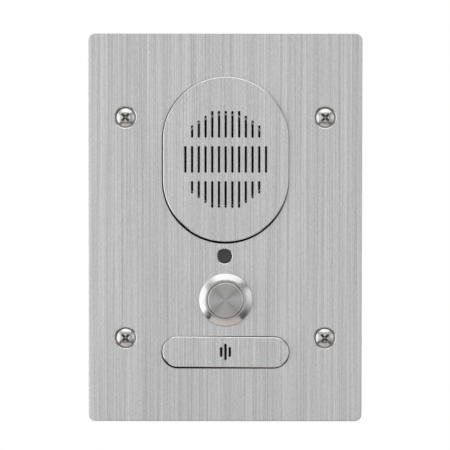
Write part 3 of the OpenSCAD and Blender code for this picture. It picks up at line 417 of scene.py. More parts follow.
SCREW_CROWN, SCREW_DOME, DOME_REACH, RECESS_REACH = -4.6, 6.98, 4.1, 2.7
dome = [(r, SCREW_CROWN + SCREW_DOME - sqrt(SCREW_DOME ** 2 - r ** 2)) for r in (
    DOME_REACH * i / 10 for i in range(11))]
wall_screws = shaped("wall_screws", turned([
    *dome, (4.17, -3.24), (4.19, -3.19), (1.5, -0.5), (1.5, -0.1),
    *thread(1.3, 1.75, 1.2, 0, 19.3), (1.1, 19.6), (0, 20)], sides=48), polished_steel)
recess = cross_recess(SCREW_CROWN, 2.3, RECESS_REACH, 1.15, 45.5, "Y")
cut(wall_screws, shaped("recess_tool", recess, polished_steel))
grown(wall_screws, screw_set, Across=WALL_SCREW_X / 1000, Up=WALL_SCREW_Z / 1000, Material=polished_steel)
# Painted shade: the cross recesses take the darker steel.
refinished(wall_screws, recess_shade_steel, lambda x, y, z: (
    from_screw(x, z) < RECESS_REACH + 0.1 and SCREW_CROWN + 0.2 + from_screw(x, z) ** 2 / (2 * SCREW_DOME) < y < -2))
stands_for(wall_screws, "faceplate_screws")


# Weld studs: short zinc-plated steel studs on the back of the plate. The solids are the true shape, so only
# their finish is made here: zinc with a faint spangle about 1 mm across.
def dressed(material, *nodes):
    """Gives CAD nodes that keep their own shape this material."""
    for node in nodes:
        solid = frame["nodes"][node]
        solid.data.materials.clear()
        solid.data.materials.append(material)


def plated(name, dark, light, grain, smooth, rough):
    """A plated metal, with two tones and a roughness that change over grains of this size in millimetres."""
    made, tree, shader, place = finish(name, {"Metallic": 1.0})
    spangle = add(tree, "TexVoronoi", {"Vector": place, "Scale": 1000 / grain}, out="Color")
    haze = add(tree, "TexNoise", {"Vector": place, "Scale": 4000 / grain, "Detail": 2})
    toned(shader, spangle, dark, light, (smooth, rough), fine=haze)
    return made


# Zinc-plated steel: a pale blue-grey, satin, with its spangle just showing.
zinc_plate = plated("zinc_plated_steel", "9FA3A6", "B9BCBF", 1.0, 0.3, 0.45)
dressed(zinc_plate, "faceplate_studs")


# Speaker cover: a pressed stainless cover, an upright oval standing 1 mm proud of the plate, brushed like it.
# Its shell is lofted with a bevelled edge and a flange behind the plate. A node tree lays out its 35 slots.
COVER_FRONT, COVER_INSIDE, FLANGE_FRONT, FLANGE_BACK = -5.1, -3.6, -0.8, 0.7
tree, given, result = node_group("sound_slots", {
    "Columns": "Int", "Rows": "Int", "Pitch": "Float", "Slot Width": "Float", "Slot Length": "Float",
    "Step": "Float", "Middle Step": "Float", "Free Columns": "Float", "Row Gap": "Float", "Middle": "Vector",
    "Material": "Material"})
known = {socket.name: socket for socket in given}
known["number"] = add(tree, "InputIndex")
known["tool height"] = add(tree, "SeparateXYZ", {0: add(tree, "InputPosition")}, out="Z")
for name in ("end", "stretch"):
    known[name] = add(tree, "InputNamedAttribute", {"Name": name}, data_type="FLOAT")
for name, operation, *terms in (
        ("side columns", "MULTIPLY_ADD", "Columns", 0.5, -0.5), ("side rows", "MULTIPLY_ADD", "Rows", 0.5, -0.5),
        ("place in row", "MODULO", "number", "Columns"), ("column", "SUBTRACT", "place in row", "side columns"),
        ("rows before", "DIVIDE", "number", "Columns"), ("row number", "FLOOR", "rows before"),
        ("row", "SUBTRACT", "row number", "side rows"),
        ("off middle", "ABSOLUTE", "column"), ("off row", "ABSOLUTE", "row"),
        ("step change", "SUBTRACT", "Step", "Middle Step"),
        ("row step", "MULTIPLY_ADD", "step change", "off row", "Middle Step"),
        ("past free", "SUBTRACT", "off middle", "Free Columns"), ("beyond", "MAXIMUM", "past free", 0.0),
        ("shorter by", "MULTIPLY", "beyond", "row step"), ("length", "SUBTRACT", "Slot Length", "shorter by"),
        ("two lengths", "ADD", "Slot Length", "length"), ("row pitch", "MULTIPLY_ADD", "two lengths", 0.5, "Row Gap"),
        ("across", "MULTIPLY", "column", "Pitch"), ("rise", "MULTIPLY", "row", "row pitch"),
        ("straight part", "SUBTRACT", "length", "Slot Width"), ("half straight", "MULTIPLY", "straight part", 0.5),
        ("corner", "MULTIPLY", "off row", "off middle"), ("last inside", "SUBTRACT", "side columns", 0.5),
        ("left out", "GREATER_THAN", "corner", "last inside"), ("count", "MULTIPLY", "Columns", "Rows"),
        ("tool end", "SIGN", "tool height"), ("pull", "MULTIPLY", "end", "stretch")):
    known[name] = add(tree, "Math", {i: known.get(term, term) for i, term in enumerate(terms)}, operation=operation)
points = add(tree, "Points", {"Count": known["count"], "Position": add(
    tree, "CombineXYZ", {"X": known["across"], "Z": known["rise"]})})
points = add(tree, "StoreNamedAttribute", {
    "Geometry": points, "Name": "stretch", "Value": known["half straight"]})
points = add(tree, "DeleteGeometry", {"Geometry": points, "Selection": known["left out"]})
tool = add(tree, "StoreNamedAttribute", {
    "Geometry": given["Geometry"], "Name": "end", "Value": known["tool end"]})
slots = add(tree, "InstanceOnPoints", {"Points": points, "Instance": tool})
slots = add(tree, "RealizeInstances", {"Geometry": slots})
stretched = add(tree, "CombineXYZ", {"Z": known["pull"]})
slots = add(tree, "SetPosition", {"Geometry": slots, "Offset": add(
    tree, "VectorMath", {0: given["Middle"], 1: stretched}, operation="ADD")})
wire(result, {"Geometry": add(tree, "SetMaterial", {"Geometry": slots, "Material": given["Material"]})})
sound_slots = tree


def cover_shell(outline, flange, low=-1000.0):
    """A pressed cover, open at the back, with a bevelled edge and a flange. low cuts the flange off flat."""
    shell = rings(outline, (-0.34, COVER_FRONT), (-0.3, COVER_FRONT + 0.012), (-0.07, COVER_FRONT + 0.18), (
        -0.015, COVER_FRONT + 0.24), (0, COVER_FRONT + 0.32), (0, FLANGE_FRONT), (flange, FLANGE_FRONT), (
        flange, FLANGE_BACK), (-1.5, FLANGE_BACK), (-1.5, COVER_INSIDE))
    for ring in shell[6:8]:
        ring[:] = [(x, y, max(z, low)) for x, y, z in ring]
    return pierced([shell])


def slot_tool(width):
    """The tool for a slot, still round, flared where it meets the front to break the slot's edge."""
    return pierced([rings(circle(width / 2, steps=5), (0.5, COVER_FRONT - 0.4), (
        0.02, COVER_FRONT + 0.08), (0, COVER_FRONT + 0.12), (0, COVER_INSIDE + 0.4))])


COVER_X, SPEAKER_COVER_Z, FLANGE_CUT = 0.16, SPEAKER_Z + 0.35, 35.4
speaker_cover = shaped("slotted_speaker_cover", cover_shell(
    rounded(52.3, 68.65, 26.15, COVER_X, SPEAKER_COVER_Z + 0.08, 32), 3, SPEAKER_COVER_Z - FLANGE_CUT), brushed_steel)
cut(speaker_cover, grown(
    shaped("speaker_slot_tool", slot_tool(0.92), brushed_steel), sound_slots, **{
        "Columns": 13, "Rows": 3, "Pitch": 0.0028, "Slot Width": 0.00092, "Slot Length": 0.0111, "Step": 0.002,
        "Middle Step": 0.0, "Free Columns": 2.0, "Row Gap": 0.0035,
        "Middle": (COVER_X / 1000, 0, SPEAKER_COVER_Z / 1000), "Material": brushed_steel}))
brush_map(speaker_cover)
refinished(speaker_cover, polished_steel, lambda x, y, z: COVER_FRONT + 0.001 < y < COVER_FRONT + 0.25 and (
    y < COVER_FRONT + 0.1 or hypot(x, z - SPEAKER_Z) > 22))
stands_for(speaker_cover, "speaker_cover")


# Speaker cover's seal and speaker gasket: black foam, cut from sheet. The seal is a frame between the flange and
# the plate, and the gasket is the ring between the cover and the speaker's rim that shows through the slots.
SPEAKER_RIM = -2.8
foam_frame("foam_speaker_cover_seal", "speaker_cover_seal", rounded(58.6, 75, 29.3, 0, SPEAKER_Z, 24), [
    rounded(52.32, 68.82, 26.16, COVER_X, SPEAKER_COVER_Z, 24)], PLATE_BACK, FLANGE_FRONT, low=SPEAKER_Z - FLANGE_CUT)
foam_frame("foam_speaker_gasket", "speaker_gasket", circle(22.4, 0, SPEAKER_Z, 20), [
    circle(19.3, 0, SPEAKER_Z + 0.3, 20)], COVER_INSIDE, SPEAKER_RIM)


# Loudspeaker: a 45 mm driver. Its basket, plates and yoke are zinc-plated steel, round a ferrite magnet, and its
# cone is pressed black paper. Those solids are the true shapes. Only the paper dust cap is turned here, as a dome.
dressed(zinc_plate, "speaker_frame", "speaker_top_plate", "speaker_yoke")
# Sintered ferrite: charcoal grey and dull, with ground grains 0.2 mm wide.
ferrite = grained(
    "sintered_ferrite", {"Roughness": 0.7}, "TexVoronoi", {"Scale": 5000}, "2B2B2D", "3C3C3F", out="Color")
dressed(ferrite, "speaker_magnet")
# Pressed paper: black pulp with fibres about 1 mm long, which take all shine off it.
cone_paper = grained(
    "pressed_cone_paper", {"Roughness": 0.9}, "TexNoise", {"Scale": 1, "Detail": 5, "Distortion": 1.5},
    "0E0E10", "222225", relief=(0.4, 0.05), stretch=(900, 2500, 900))
dressed(cone_paper, "speaker_cone")
DUST_CAP_MIDDLE = 8.737
dust_arcs = [[(radius * sin(t), DUST_CAP_MIDDLE - radius * cos(t)) for t in (radians(edge * i / 10) for i in range(11))]
             for radius, edge in ((8.0, 42.45), (7.6, 39.05))]
stands_for(shaped("pressed_dust_cap", turned([*dust_arcs[0], *reversed(dust_arcs[1])], 0, SPEAKER_Z), cone_paper),
    "speaker_dust_cap", "speaker_diaphragm")


# Surround and spider: the soft parts that hold the cone. The surround is a half roll of black rubber with its
# flat edge glued in the basket, and the spider is a corrugated ring of varnished cloth, woven 0.4 mm apart.
def moulded(name, dark, light, grain, rough, relief, glossy=0.5):
    """A moulded plastic or rubber: two tones and a relief in millimetres over grains of this size."""
    made, tree, shader, place = finish(name, {"IOR": 1.5, "Specular IOR Level": glossy})
    skin = add(tree, "TexNoise", {"Vector": place, "Scale": 1000 / grain, "Detail": 3})
    cloud = add(tree, "TexNoise", {"Vector": place, "Scale": 60 / grain, "Detail": 2})
    toned(shader, cloud, dark, light, (rough - 0.1, rough + 0.1), (0.5, relief), skin)
    return made


# Moulded rubber: near black with a soft sheen, and a skin with a 0.3 mm grain.
rubber = moulded("moulded_rubber", "161618", "232326", 0.3, 0.7, 0.02, 0.3)
ROLL_R, ROLL_BACK, OUTER_ROLL, INNER_ROLL = 16.85, -1.8, 0.85, 0.55
roll = [pi * i / 12 for i in range(13)]
stands_for(shaped("half_roll_surround", turned([
    *[(ROLL_R - OUTER_ROLL * cos(t), ROLL_BACK - OUTER_ROLL * sin(t)) for t in roll[:-2]],
    (17.66, -2.1), (18.7, -2.1), (18.8, -1.95), (18.7, ROLL_BACK),
    *[(ROLL_R + INNER_ROLL * cos(t), ROLL_BACK - INNER_ROLL * sin(t)) for t in roll]], 0, SPEAKER_Z, 72), rubber, 40),
    "speaker_surround")
# Varnished cloth: amber threads 0.4 mm apart, lighter where they cross on top.
spider_cloth, tree, shader, place = finish("varnished_cloth", {"Roughness": 0.65})
warp = [add(tree, "TexWave", {"Vector": place, "Scale": 800, "Distortion": 0.6, "Detail": 1},
            bands_direction=way, out=1) for way in "XZ"]
weave = add(tree, "Math", {0: warp[0], 1: warp[1]}, operation="MULTIPLY")
toned(shader, weave, "5E4A22", "A98A4B", relief=(0.5, 0.06))
SPIDER_R, SPIDER_REACH, SPIDER_FRONT, SPIDER_BACK, WAVE_HEIGHT, WAVES = 4.8, 6.3, 5.97, 6.13, 0.13, 4
waves = [(SPIDER_R + SPIDER_REACH * i / 48, WAVE_HEIGHT * sin(2 * pi * max(0, min(WAVES, (i - 4) / 9))))
         for i in range(49)]
stands_for(shaped("corrugated_spider", turned([
    *[(r, SPIDER_FRONT + h) for r, h in waves], *[(r, SPIDER_BACK + min(h, 0.05)) for r, h in reversed(waves)]],
    0, SPEAKER_Z, 64), spider_cloth, 50), "speaker_spider")


# Voice coil: enamelled copper wire wound on a thin former in the magnet's gap, which moves with the cone.
# It is turned with a ripple for each turn of its wire, 0.2 mm apart.
# Enamelled copper: a warm orange-brown metal, streaked along the winding every 0.1 mm or so.
copper_wire = grained(
    "enamelled_copper_wire", {"Metallic": 1.0, "Roughness": 0.3}, "TexNoise", {"Scale": 1}, "8A4A25", "C77B45",
    stretch=(300, 9000, 300))
COIL_R, COIL_RIPPLE, COIL_FRONT, COIL_LONG = 4.71, 0.04, 6.4, 2.6
winding = [(COIL_R + COIL_RIPPLE * sin(pi * i / 2), COIL_FRONT + COIL_LONG * i / 52) for i in range(53)]
stands_for(shaped("wound_voice_coil", turned([
    (4.45, 3.1), (4.6, 3.1), (4.6, 6.3), *winding, (4.45, 9.0)], 0, SPEAKER_Z, 48), copper_wire, 60),
    "voice_coil", "speaker_diaphragm")


# Inner bracket: a moulded plastic frame on the plate's studs, which clamps the speaker and holds the lamp.
# The solid is the true shape. It is glass-filled, with a dull skin.
# Glass-filled nylon: near black, with a skin that its fibres leave dull and uneven over 0.4 mm.
bracket_plastic = moulded("glass_filled_nylon", "1E1E20", "2A2A2D", 0.4, 0.6, 0.015)
dressed(bracket_plastic, "inner_bracket")


# Status lens and lamp: a smoked acrylic button in the plate, 0.2 mm below its face, with a lamp behind it.
# The lens is turned with a small rounded edge. Its colour is painted a touch paler low down, as a painted reflection.
# The lamp is a 5 mm one, turned with a round nose, and its two square legs go back to the board.
# Smoked acrylic: almost black and smooth, with a faint mottle, and a painted reflection makes it a touch paler low
# down.
smoked_acrylic, tree, shader, place = finish("smoked_acrylic", {"Roughness": 0.22, "IOR": 1.49, "Coat Weight": 0.2})
lens_place = add(tree, "Mapping", {"Vector": place, "Location": (0, 0, -LENS_Z / 1000)})
rise = add(tree, "SeparateXYZ", {0: lens_place}, out="Z")
# Painted reflection: the lens's colour grows paler towards its bottom edge.
painted_reflection_low = add(tree, "MapRange", {"Value": rise, "From Min": 0.002, "From Max": -0.003})
smoke_and_reflection = add(tree, "TexNoise", {"Vector": place, "Scale": 1500, "Detail": 2})
smoke_and_reflection = add(tree, "Math", {0: smoke_and_reflection, 1: 0.4, 2: painted_reflection_low}, operation="MULTIPLY_ADD")
toned(shader, smoke_and_reflection, "161619", "2C2E33")
stands_for(shaped("smoked_lens", turned([
    (0, -3.9), (1.4, -3.9), (2.86, -3.88), (3.0, -3.82), (3.06, -3.65), (3.06, -1.6), (4.2, -1.6), (4.2, 0.7),
    (0, 0.7)], LENS_X, LENS_Z, 48), smoked_acrylic), "status_lens")
# Diffused epoxy and tinned legs: the body is a milky red with a soft shine, and behind its back the legs are metal.
LAMP_Z, LAMP_NOSE, LAMP_BACK, LAMP_R, LEG_END, LEG, LEG_PITCH = -12.0, 1.5, 10.1, 2.5, 22.19, 0.5, 2.54
lamp, tree, shader, place = finish("lamp_epoxy_and_tinned_legs", {"Roughness": 0.3})
depth = add(tree, "SeparateXYZ", {0: place}, out="Y")
legs = add(tree, "Math", {0: depth, 1: LAMP_BACK / 1000}, operation="GREATER_THAN")
milk = add(tree, "TexNoise", {"Vector": place, "Scale": 900, "Detail": 2})
epoxy = add(tree, "Mix", {0: milk, 6: linear("A8402F"), 7: linear("C4553E")}, data_type="RGBA", out=2)
wire(shader, {"Metallic": legs, "Base Color": add(tree, "Mix", {
    0: legs, 6: epoxy, 7: linear("B9B8AE")}, data_type="RGBA", out=2)})
nose = [(LAMP_R * sin(t), LAMP_NOSE + LAMP_R * (1 - cos(t))) for t in (pi / 16 * i for i in range(9))]
lamp_solid = turned([*nose, (LAMP_R, LAMP_BACK), (0, LAMP_BACK)], 0, LAMP_Z, 40)
for x in (-LEG_PITCH / 2, LEG_PITCH / 2):
    bmesh.ops.create_cube(lamp_solid, size=1, matrix=Matrix.LocRotScale(
        (x, (LAMP_BACK + LEG_END) / 2, LAMP_Z), None, (LEG, LEG_END - LAMP_BACK, LEG)))
stands_for(shaped("diffused_lamp", lamp_solid, lamp), "status_led")


# Call button's housing: the polished domed bezel and the threaded barrel behind the plate, turned in one piece.
# The dome is a true arc from its straight edge up to a flat spun lip, and the cap slides in the bore inside it.
# Spun stainless steel: fine rings 0.2 to 0.3 mm apart, which fan the light out from the button's middle.
spun_steel, tree, shader, place = finish("spun_stainless_steel", {"Metallic": 1.0, "Anisotropic": 1.0})
from_hub = add(tree, "Mapping", {
    "Vector": place, "Scale": (1, 0, 1), "Location": (-BUTTON_X / 1000, 0, -BUTTON_Z / 1000)})
radius = add(tree, "VectorMath", {0: from_hub}, operation="LENGTH", out="Value")
groove = add(tree, "TexNoise", {"W": radius, "Scale": 4200, "Detail": 2}, noise_dimensions="1D")
smear = add(tree, "TexNoise", {"Vector": from_hub, "Scale": 260, "Detail": 2})
mark = add(tree, "Math", {0: smear, 1: 0.4, 2: groove}, operation="MULTIPLY_ADD")
mark = add(tree, "MapRange", {"Value": mark, "From Min": 0.4, "From Max": 1.0})
toned(shader, mark, "C6C5C4", "D8D8D8", (0.5, 0.62), (0.15, 0.01), groove)
wire(shader, {"Tangent": add(tree, "Tangent", direction_type="UV_MAP", uv_map="spin")})

ARC_X, ARC_Y, ARC_R, ARC_START, ARC_TURN, LIP_R, BORE_R = 5.972, 0.272, 7.1, 18.4, 27.6, 8.16, 7.6
dome = [(ARC_X + ARC_R * sin(t), ARC_Y - ARC_R * cos(t)) for t in (
    radians(ARC_START + ARC_TURN * i / 16) for i in range(17))]
housing = shaped("polished_button_housing", turned([
    (BORE_R, -6.35), (7.63, -6.42), (7.7, -6.45), (LIP_R, -6.45), *dome, (11.08, -4.2), (10.9, FACE), (10.7, FACE),
    (10.7, -4.7), (9.7, -4.7), (9.7, FACE), (9.3, FACE), *thread(9.15, 9.5, 1, -1.5, 9.6), (9.0, 9.9), (BORE_R, 9.9),
    (BORE_R, 1.5), (3.06, 1.5), (3.06, 0.85), (4.2, 0.85), (4.2, -0.35), (3.06, -0.35), (3.06, -1), (BORE_R, -1)],
    BUTTON_X, BUTTON_Z, 128), polished_steel)
refinished(housing, spun_steel, lambda x, y, z: y < -6.2 and hypot(x - BUTTON_X, z - BUTTON_Z) < LIP_R + 0.01)
stands_for(housing, "button_housing")


# Call button's cap: a spun stainless disc with its stem, turned in one piece, which moves with the button.
# Its edge is rounded over and polished, and a hair gap parts it from the bezel's lip.
CAP_FRONT, CAP_FLAT_R = -6.5, 7.0
cap = shaped("spun_button_cap", turned([
    *[(r, CAP_FRONT) for r in (0, 0.5, 1.5, 3, 5, CAP_FLAT_R)], (7.12, -6.485), (7.26, -6.42),
    (7.38, -6.3), (7.45, -6.1), (7.45, -3.36), (7.39, -3.3), (3, -3.3), (3, 1.8), (0, 1.8)],
    BUTTON_X, BUTTON_Z, 128), spun_steel)
refinished(cap, polished_steel, lambda x, y, z: y < -6.05 and hypot(x - BUTTON_X, z - BUTTON_Z) > CAP_FLAT_R + 0.02)
stands_for(cap, "button_cap", "call_button")


# Button's seals: black rubber. A flat ring under the bezel keeps rain out of the plate's hole, and a round cord
# ring in the housing's web wipes the stem.
stands_for(shaped("button_panel_ring", turned([
    (9.75, -4.2), (9.75, -4.55), (9.85, -4.65), (10.55, -4.65), (10.65, -4.55), (10.65, -4.2), (10.55, FACE),
    (9.85, FACE)], BUTTON_X, BUTTON_Z, 72), rubber), "button_panel_seal")
SEAL_R, SEAL_Y, CORD_R = 3.6, 0.25, 0.5
stands_for(shaped("button_shaft_ring", turned([
    (SEAL_R + CORD_R * cos(pi * i / 8), SEAL_Y + CORD_R * sin(pi * i / 8)) for i in range(16)],
    BUTTON_X, BUTTON_Z, 48), rubber), "button_shaft_seal")


# Behind the bezel: a zinc-plated lock washer and a nickel-plated brass nut clamp the barrel, a white nylon plunger
# carries the contact ring, and a black base holds the two blades. The solids are the true shapes.
# Nickel-plated brass: a warm bright grey. White nylon: a creamy white with a waxy sheen.
nickel_brass = plated("nickel_plated_brass", "A79E88", "C2B9A2", 0.8, 0.2, 0.32)
white_nylon = moulded("white_nylon", "D8D5CB", "E6E3DA", 0.5, 0.5, 0.01)
dressed(zinc_plate, "button_lock_washer")
dressed(nickel_brass, "button_nut", "button_contact_ring", "button_terminals")
dressed(white_nylon, "button_plunger")
dressed(bracket_plastic, "button_base")


# Return spring: six turns of drawn 0.5 mm wire round the plunger's boss. A node tree sweeps the wire along the
# coil, which closes up at both ends.
tree, given, result = node_group("swept_wire", {"Radius": "Float", "Sides": "Int", "Material": "Material"})
line = add(tree, "MeshToCurve", {0: given["Geometry"]})
section = add(tree, "CurvePrimitiveCircle", {"Resolution": given["Sides"], "Radius": given["Radius"]})
skin = add(tree, "CurveToMesh", {"Curve": line, "Profile Curve": section, "Fill Caps": True})
skin = add(tree, "RealizeInstances", {"Geometry": skin})
wire(result, {"Geometry": add(tree, "SetMaterial", {"Geometry": skin, "Material": given["Material"]})})
swept_wire = tree


def wire_piece(name, routes, radius, sides, material):
    """Wires of this radius in millimetres along routes of points."""
    points, edges = [], []
    for route in routes:
        edges += [(len(points) + i, len(points) + i + 1) for i in range(len(route) - 1)]
        points += [[value / 1000 for value in point] for point in route]
    mesh = bpy.data.meshes.new(name)
    mesh.from_pydata(points, edges, [])
    made = placed(name, mesh)
    grown(made, swept_wire, Radius=radius / 1000, Sides=sides, Material=material)
    made.data.shade_smooth()
    creased(made.data, 50)
    return made


# Drawn spring wire: bright grey, with short drawing marks 0.3 mm long.
spring_steel = grained(
    "drawn_spring_wire", {"Metallic": 1.0}, "TexNoise", {"Scale": 3000, "Detail": 2}, "A5A5A5", "C8C8C8", (0.2, 0.35))
SWITCH_Z, SPRING_FRONT, SPRING_BACK, SPRING_TURNS, CLOSED_TURNS = -30.3, 4.2, 16.2, 6, 1.5
SPRING_R, SPRING_WIRE, TURN_STEPS = 3.3, 0.25, 28
coil = []
for i in range(SPRING_TURNS * TURN_STEPS + 1):
    turn = i / TURN_STEPS
    opened = min(max(turn - CLOSED_TURNS / 2, 0), SPRING_TURNS - CLOSED_TURNS) / (SPRING_TURNS - CLOSED_TURNS)
    reach = (SPRING_BACK - SPRING_FRONT - 2 * SPRING_WIRE) * (0.04 * turn / SPRING_TURNS + 0.96 * opened)
    coil.append((SPRING_R * cos(2 * pi * turn), SPRING_FRONT + SPRING_WIRE + reach,
                 SWITCH_Z + SPRING_R * sin(2 * pi * turn)))
spring = wire_piece("coil_return_spring", [coil], SPRING_WIRE, 10, spring_steel)
stands_for(spring, "button_return_spring")
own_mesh(spring)


# Microphone cover: a smaller pressed cover, a level oval with three slots, brushed like the plate and set a
# fraction of a degree off level. It is made as the speaker's cover is.
MIC_COVER_Z = MIC_Z + 0.15
mic_shell = cover_shell(rounded(52.8, 12.65, 6.32, steps=18), 2)
bmesh.ops.rotate(mic_shell, verts=mic_shell.verts, cent=(0, 0, 0), matrix=Matrix.Rotation(radians(0.4), 3, "Y"))
bmesh.ops.translate(mic_shell, verts=mic_shell.verts, vec=(COVER_X + 0.055, 0, MIC_COVER_Z))
mic_cover = shaped("slotted_mic_cover", mic_shell, brushed_steel)
cut(mic_cover, grown(
    shaped("mic_slot_tool", slot_tool(1.0), brushed_steel), sound_slots, **{
        "Columns": 3, "Rows": 1, "Pitch": 0.0018, "Slot Width": 0.001, "Slot Length": 0.0069, "Step": 0.0,
        "Middle Step": 0.0028, "Free Columns": 0.0, "Row Gap": 0.0,
        "Middle": (COVER_X / 1000, 0, MIC_COVER_Z / 1000), "Material": brushed_steel}))
brush_map(mic_cover)
refinished(mic_cover, polished_steel, lambda x, y, z: COVER_FRONT + 0.001 < y < COVER_FRONT + 0.25 and (
    y < COVER_FRONT + 0.1 or abs(x) > 4 or abs(z - MIC_Z) > 5))
stands_for(mic_cover, "mic_cover")


# Microphone: foam seal, a woven dust mesh, a rubber boot round the capsule, and a moulded clamp on four studs.
# The seal, mesh and boot are made here, and the capsule, clamp and nuts keep their solids.
foam_frame("foam_mic_cover_seal", "mic_cover_seal", rounded(57.3, 17.2, 8.6, 0, MIC_Z, 16), [
    rounded(53, 13.1, 6.55, COVER_X, MIC_COVER_Z, 16)], PLATE_BACK, FLANGE_FRONT)
# Woven mesh: black threads 0.3 mm apart that catch a little light where they cross.
black_mesh, tree, shader, place = finish("woven_black_mesh", {"Roughness": 0.8})
strand = [add(tree, "TexWave", {"Vector": place, "Scale": 1000}, bands_direction=way, out=1) for way in "XZ"]
knot = add(tree, "Math", {0: strand[0], 1: strand[1]}, operation="MAXIMUM")
toned(shader, knot, "060607", "161618", relief=(0.6, 0.08))
stands_for(shaped("woven_dust_mesh", turned([
    (0, -3.6), (4.55, -3.6), (4.66, -3.57), (4.7, -3.48), (4.66, -3.38), (4.55, -3.35), (0, -3.35)],
    0, MIC_Z, 40), black_mesh), "mic_mesh")
stands_for(shaped("rubber_mic_boot", turned([
    (1.5, -3.25), (1.6, -3.35), (4.6, -3.35), (4.8, -3.15), (4.8, -1.2), (4.65, -1.05), (4.65, -0.75), (4.8, -0.6),
    (4.8, 0.5), (4.6, 0.7), (3.2, 0.7), (3.05, 0.55), (3.05, -2.35), (1.5, -2.35)], 0, MIC_Z, 48), rubber),
    "mic_boot")
# Drawn aluminium: pale and satin, with a soft grain of 0.6 mm.
capsule_aluminium = plated("drawn_aluminium", "A9ABAD", "BFC1C3", 0.6, 0.28, 0.4)
dressed(capsule_aluminium, "mic_capsule")
dressed(bracket_plastic, "mic_clamp")
dressed(zinc_plate, "mic_clamp_nuts")


# Circuit board: a green laminate on nickel-plated pillars, with its chips, capacitors, sockets and the terminal
# block for the field wires. The solids are the true shapes. Under the lacquer its tracks show as lighter lines,
# 1.2 mm apart, which run up or across in patches about 9 mm wide, with tinned holes between them.
# Lacquered laminate: bottle green and smooth, lighter over its copper tracks, with dots of tin.
board_laminate, tree, shader, place = finish("lacquered_laminate", {"Roughness": 0.35, "Coat Weight": 0.3})
patch = add(tree, "TexVoronoi", {"Vector": place, "Scale": 110, "Randomness": 0.7}, distance="CHEBYCHEV", out="Color")
upright = add(tree, "Math", {0: patch, 1: 0.5}, operation="GREATER_THAN")
bus = [add(tree, "TexWave", {"Vector": place, "Scale": 262}, bands_direction=way, out=1) for way in "XZ"]
line = add(tree, "Mix", {0: upright, 2: bus[1], 3: bus[0]})
track = add(tree, "MapRange", {"Value": line, "From Min": 0.72, "From Max": 0.84})
hole = add(tree, "TexVoronoi", {"Vector": place, "Scale": 230, "Randomness": 0.5}, out="Distance")
tinned = add(tree, "Math", {0: hole, 1: 0.14}, operation="LESS_THAN")
lacquer = add(tree, "Mix", {0: track, 6: linear("164A2F"), 7: linear("2E7049")}, data_type="RGBA", out=2)
wire(shader, {
    "Base Color": add(tree, "Mix", {0: tinned, 6: lacquer, 7: linear("B9B8AE")}, data_type="RGBA", out=2),
    "Normal": add(tree, "Bump", {"Height": track, "Strength": 0.4, "Distance": 0.00003})})
dressed(board_laminate, "main_board")
dressed(nickel_brass, "board_standoffs", "cover_standoffs")
# Chip epoxy: charcoal, matt. Capacitor sleeve: dark blue shrunk film, glossy. Terminal plastic: a satin green.
dressed(moulded("chip_epoxy", "1A1A1C", "252527", 0.2, 0.6, 0.006), "board_chips")
dressed(moulded("capacitor_sleeve", "23283C", "2E3550", 0.8, 0.35, 0.004), "board_capacitors")
dressed(white_nylon, "lead_sockets")
dressed(moulded("terminal_plastic", "2E7A4C", "388B58", 0.4, 0.45, 0.008), "terminal_block")
dressed(zinc_plate, "terminal_screws")


# Rear cover: a tub of black plastic, moulded with a 2 mm wall, that closes the back inside the wall box.
# It is lofted from its round back edge, its open rim, its inner wall, the cable hole and a shallow panel.
TUB_FLOOR, TUB_BACK, TUB_WALL, TUB_ROLL, ENTRY_R, ENTRY_Z = 37.8, 39.8, 2, 1.5, 7, -52.0
# Spark-textured plastic: black, with an even 0.35 mm grain that spreads the light to a satin grey.
tub_plastic = moulded("spark_textured_plastic", "202023", "2A2A2E", 0.35, 0.55, 0.02)
tub_walls = [rings(
    rounded(TUB_W, TUB_H, TUB_CORNER, 0, TUB_Z), *rolled(TUB_ROLL, TUB_BACK, -1, -1, 6), (0, 0.25), (-0.2, 0),
    (0.2 - TUB_WALL, 0), (-TUB_WALL, 0.2), (-TUB_WALL, TUB_FLOOR))]
tub_walls.append(rings(circle(ENTRY_R, 0, ENTRY_Z), *rolled(0.2, TUB_BACK, -1, 1), (0, TUB_FLOOR)))
panel = rings(
    rounded(40, 52, 3, 0, SPEAKER_Z), *rolled(0.2, TUB_BACK, -1, 1), (0, TUB_BACK - 0.4), (-0.1, TUB_BACK - 0.5))
stands_for(shaped("moulded_rear_tub", pierced(tub_walls, [panel]), tub_plastic), "rear_cover")


# Rear cover's seal: a thin frame of the same black foam, cut to the tub's rim, which presses it on the plate
# when the tub's screws are tightened.
foam_frame("foam_rear_cover_seal", "rear_cover_seal", rounded(TUB_W, TUB_H, TUB_CORNER, 0, TUB_Z), [
    rounded(TUB_W - 2 * TUB_WALL, TUB_H - 2 * TUB_WALL, TUB_CORNER - TUB_WALL, 0, TUB_Z)], PLATE_BACK, 0)


# Rear cover's screws: four zinc-plated pan-head screws with cross recesses, into the pillars behind the board.
# One is turned and set out by the same node tree as the wall screws, with its head to the back.
TUB_SCREW_X, TUB_SCREW_Z, PAN_HIGH, PAN_DOME, PAN_REACH = 53.0, 65.5, 2, 5, 2.62
pan = [(r, TUB_BACK + PAN_HIGH - PAN_DOME + sqrt(PAN_DOME ** 2 - r ** 2)) for r in (
    PAN_REACH * i / 7 for i in range(8))]
tub_screws = shaped("tub_screws", turned([
    *pan, (2.74, TUB_BACK + 1.1), (2.8, TUB_BACK + 0.9), (2.8, TUB_BACK + 0.1), (2.75, TUB_BACK), (1.45, TUB_BACK),
    *reversed(thread(1.2, 1.5, 0.5, 32.2, 39.4, 4)), (0.9, 31.8), (0, 31.8)], sides=36), zinc_plate)
recess = cross_recess(-TUB_BACK - PAN_HIGH, 1.6, 1.5, 0.75, 180, "Z")
cut(tub_screws, shaped("tub_recess_tool", recess, zinc_plate))
grown(tub_screws, screw_set, Across=TUB_SCREW_X / 1000, Up=TUB_SCREW_Z / 1000, Middle=(
    0, 0, SPEAKER_Z / 1000), Material=zinc_plate)
stands_for(tub_screws, "rear_cover_screws")


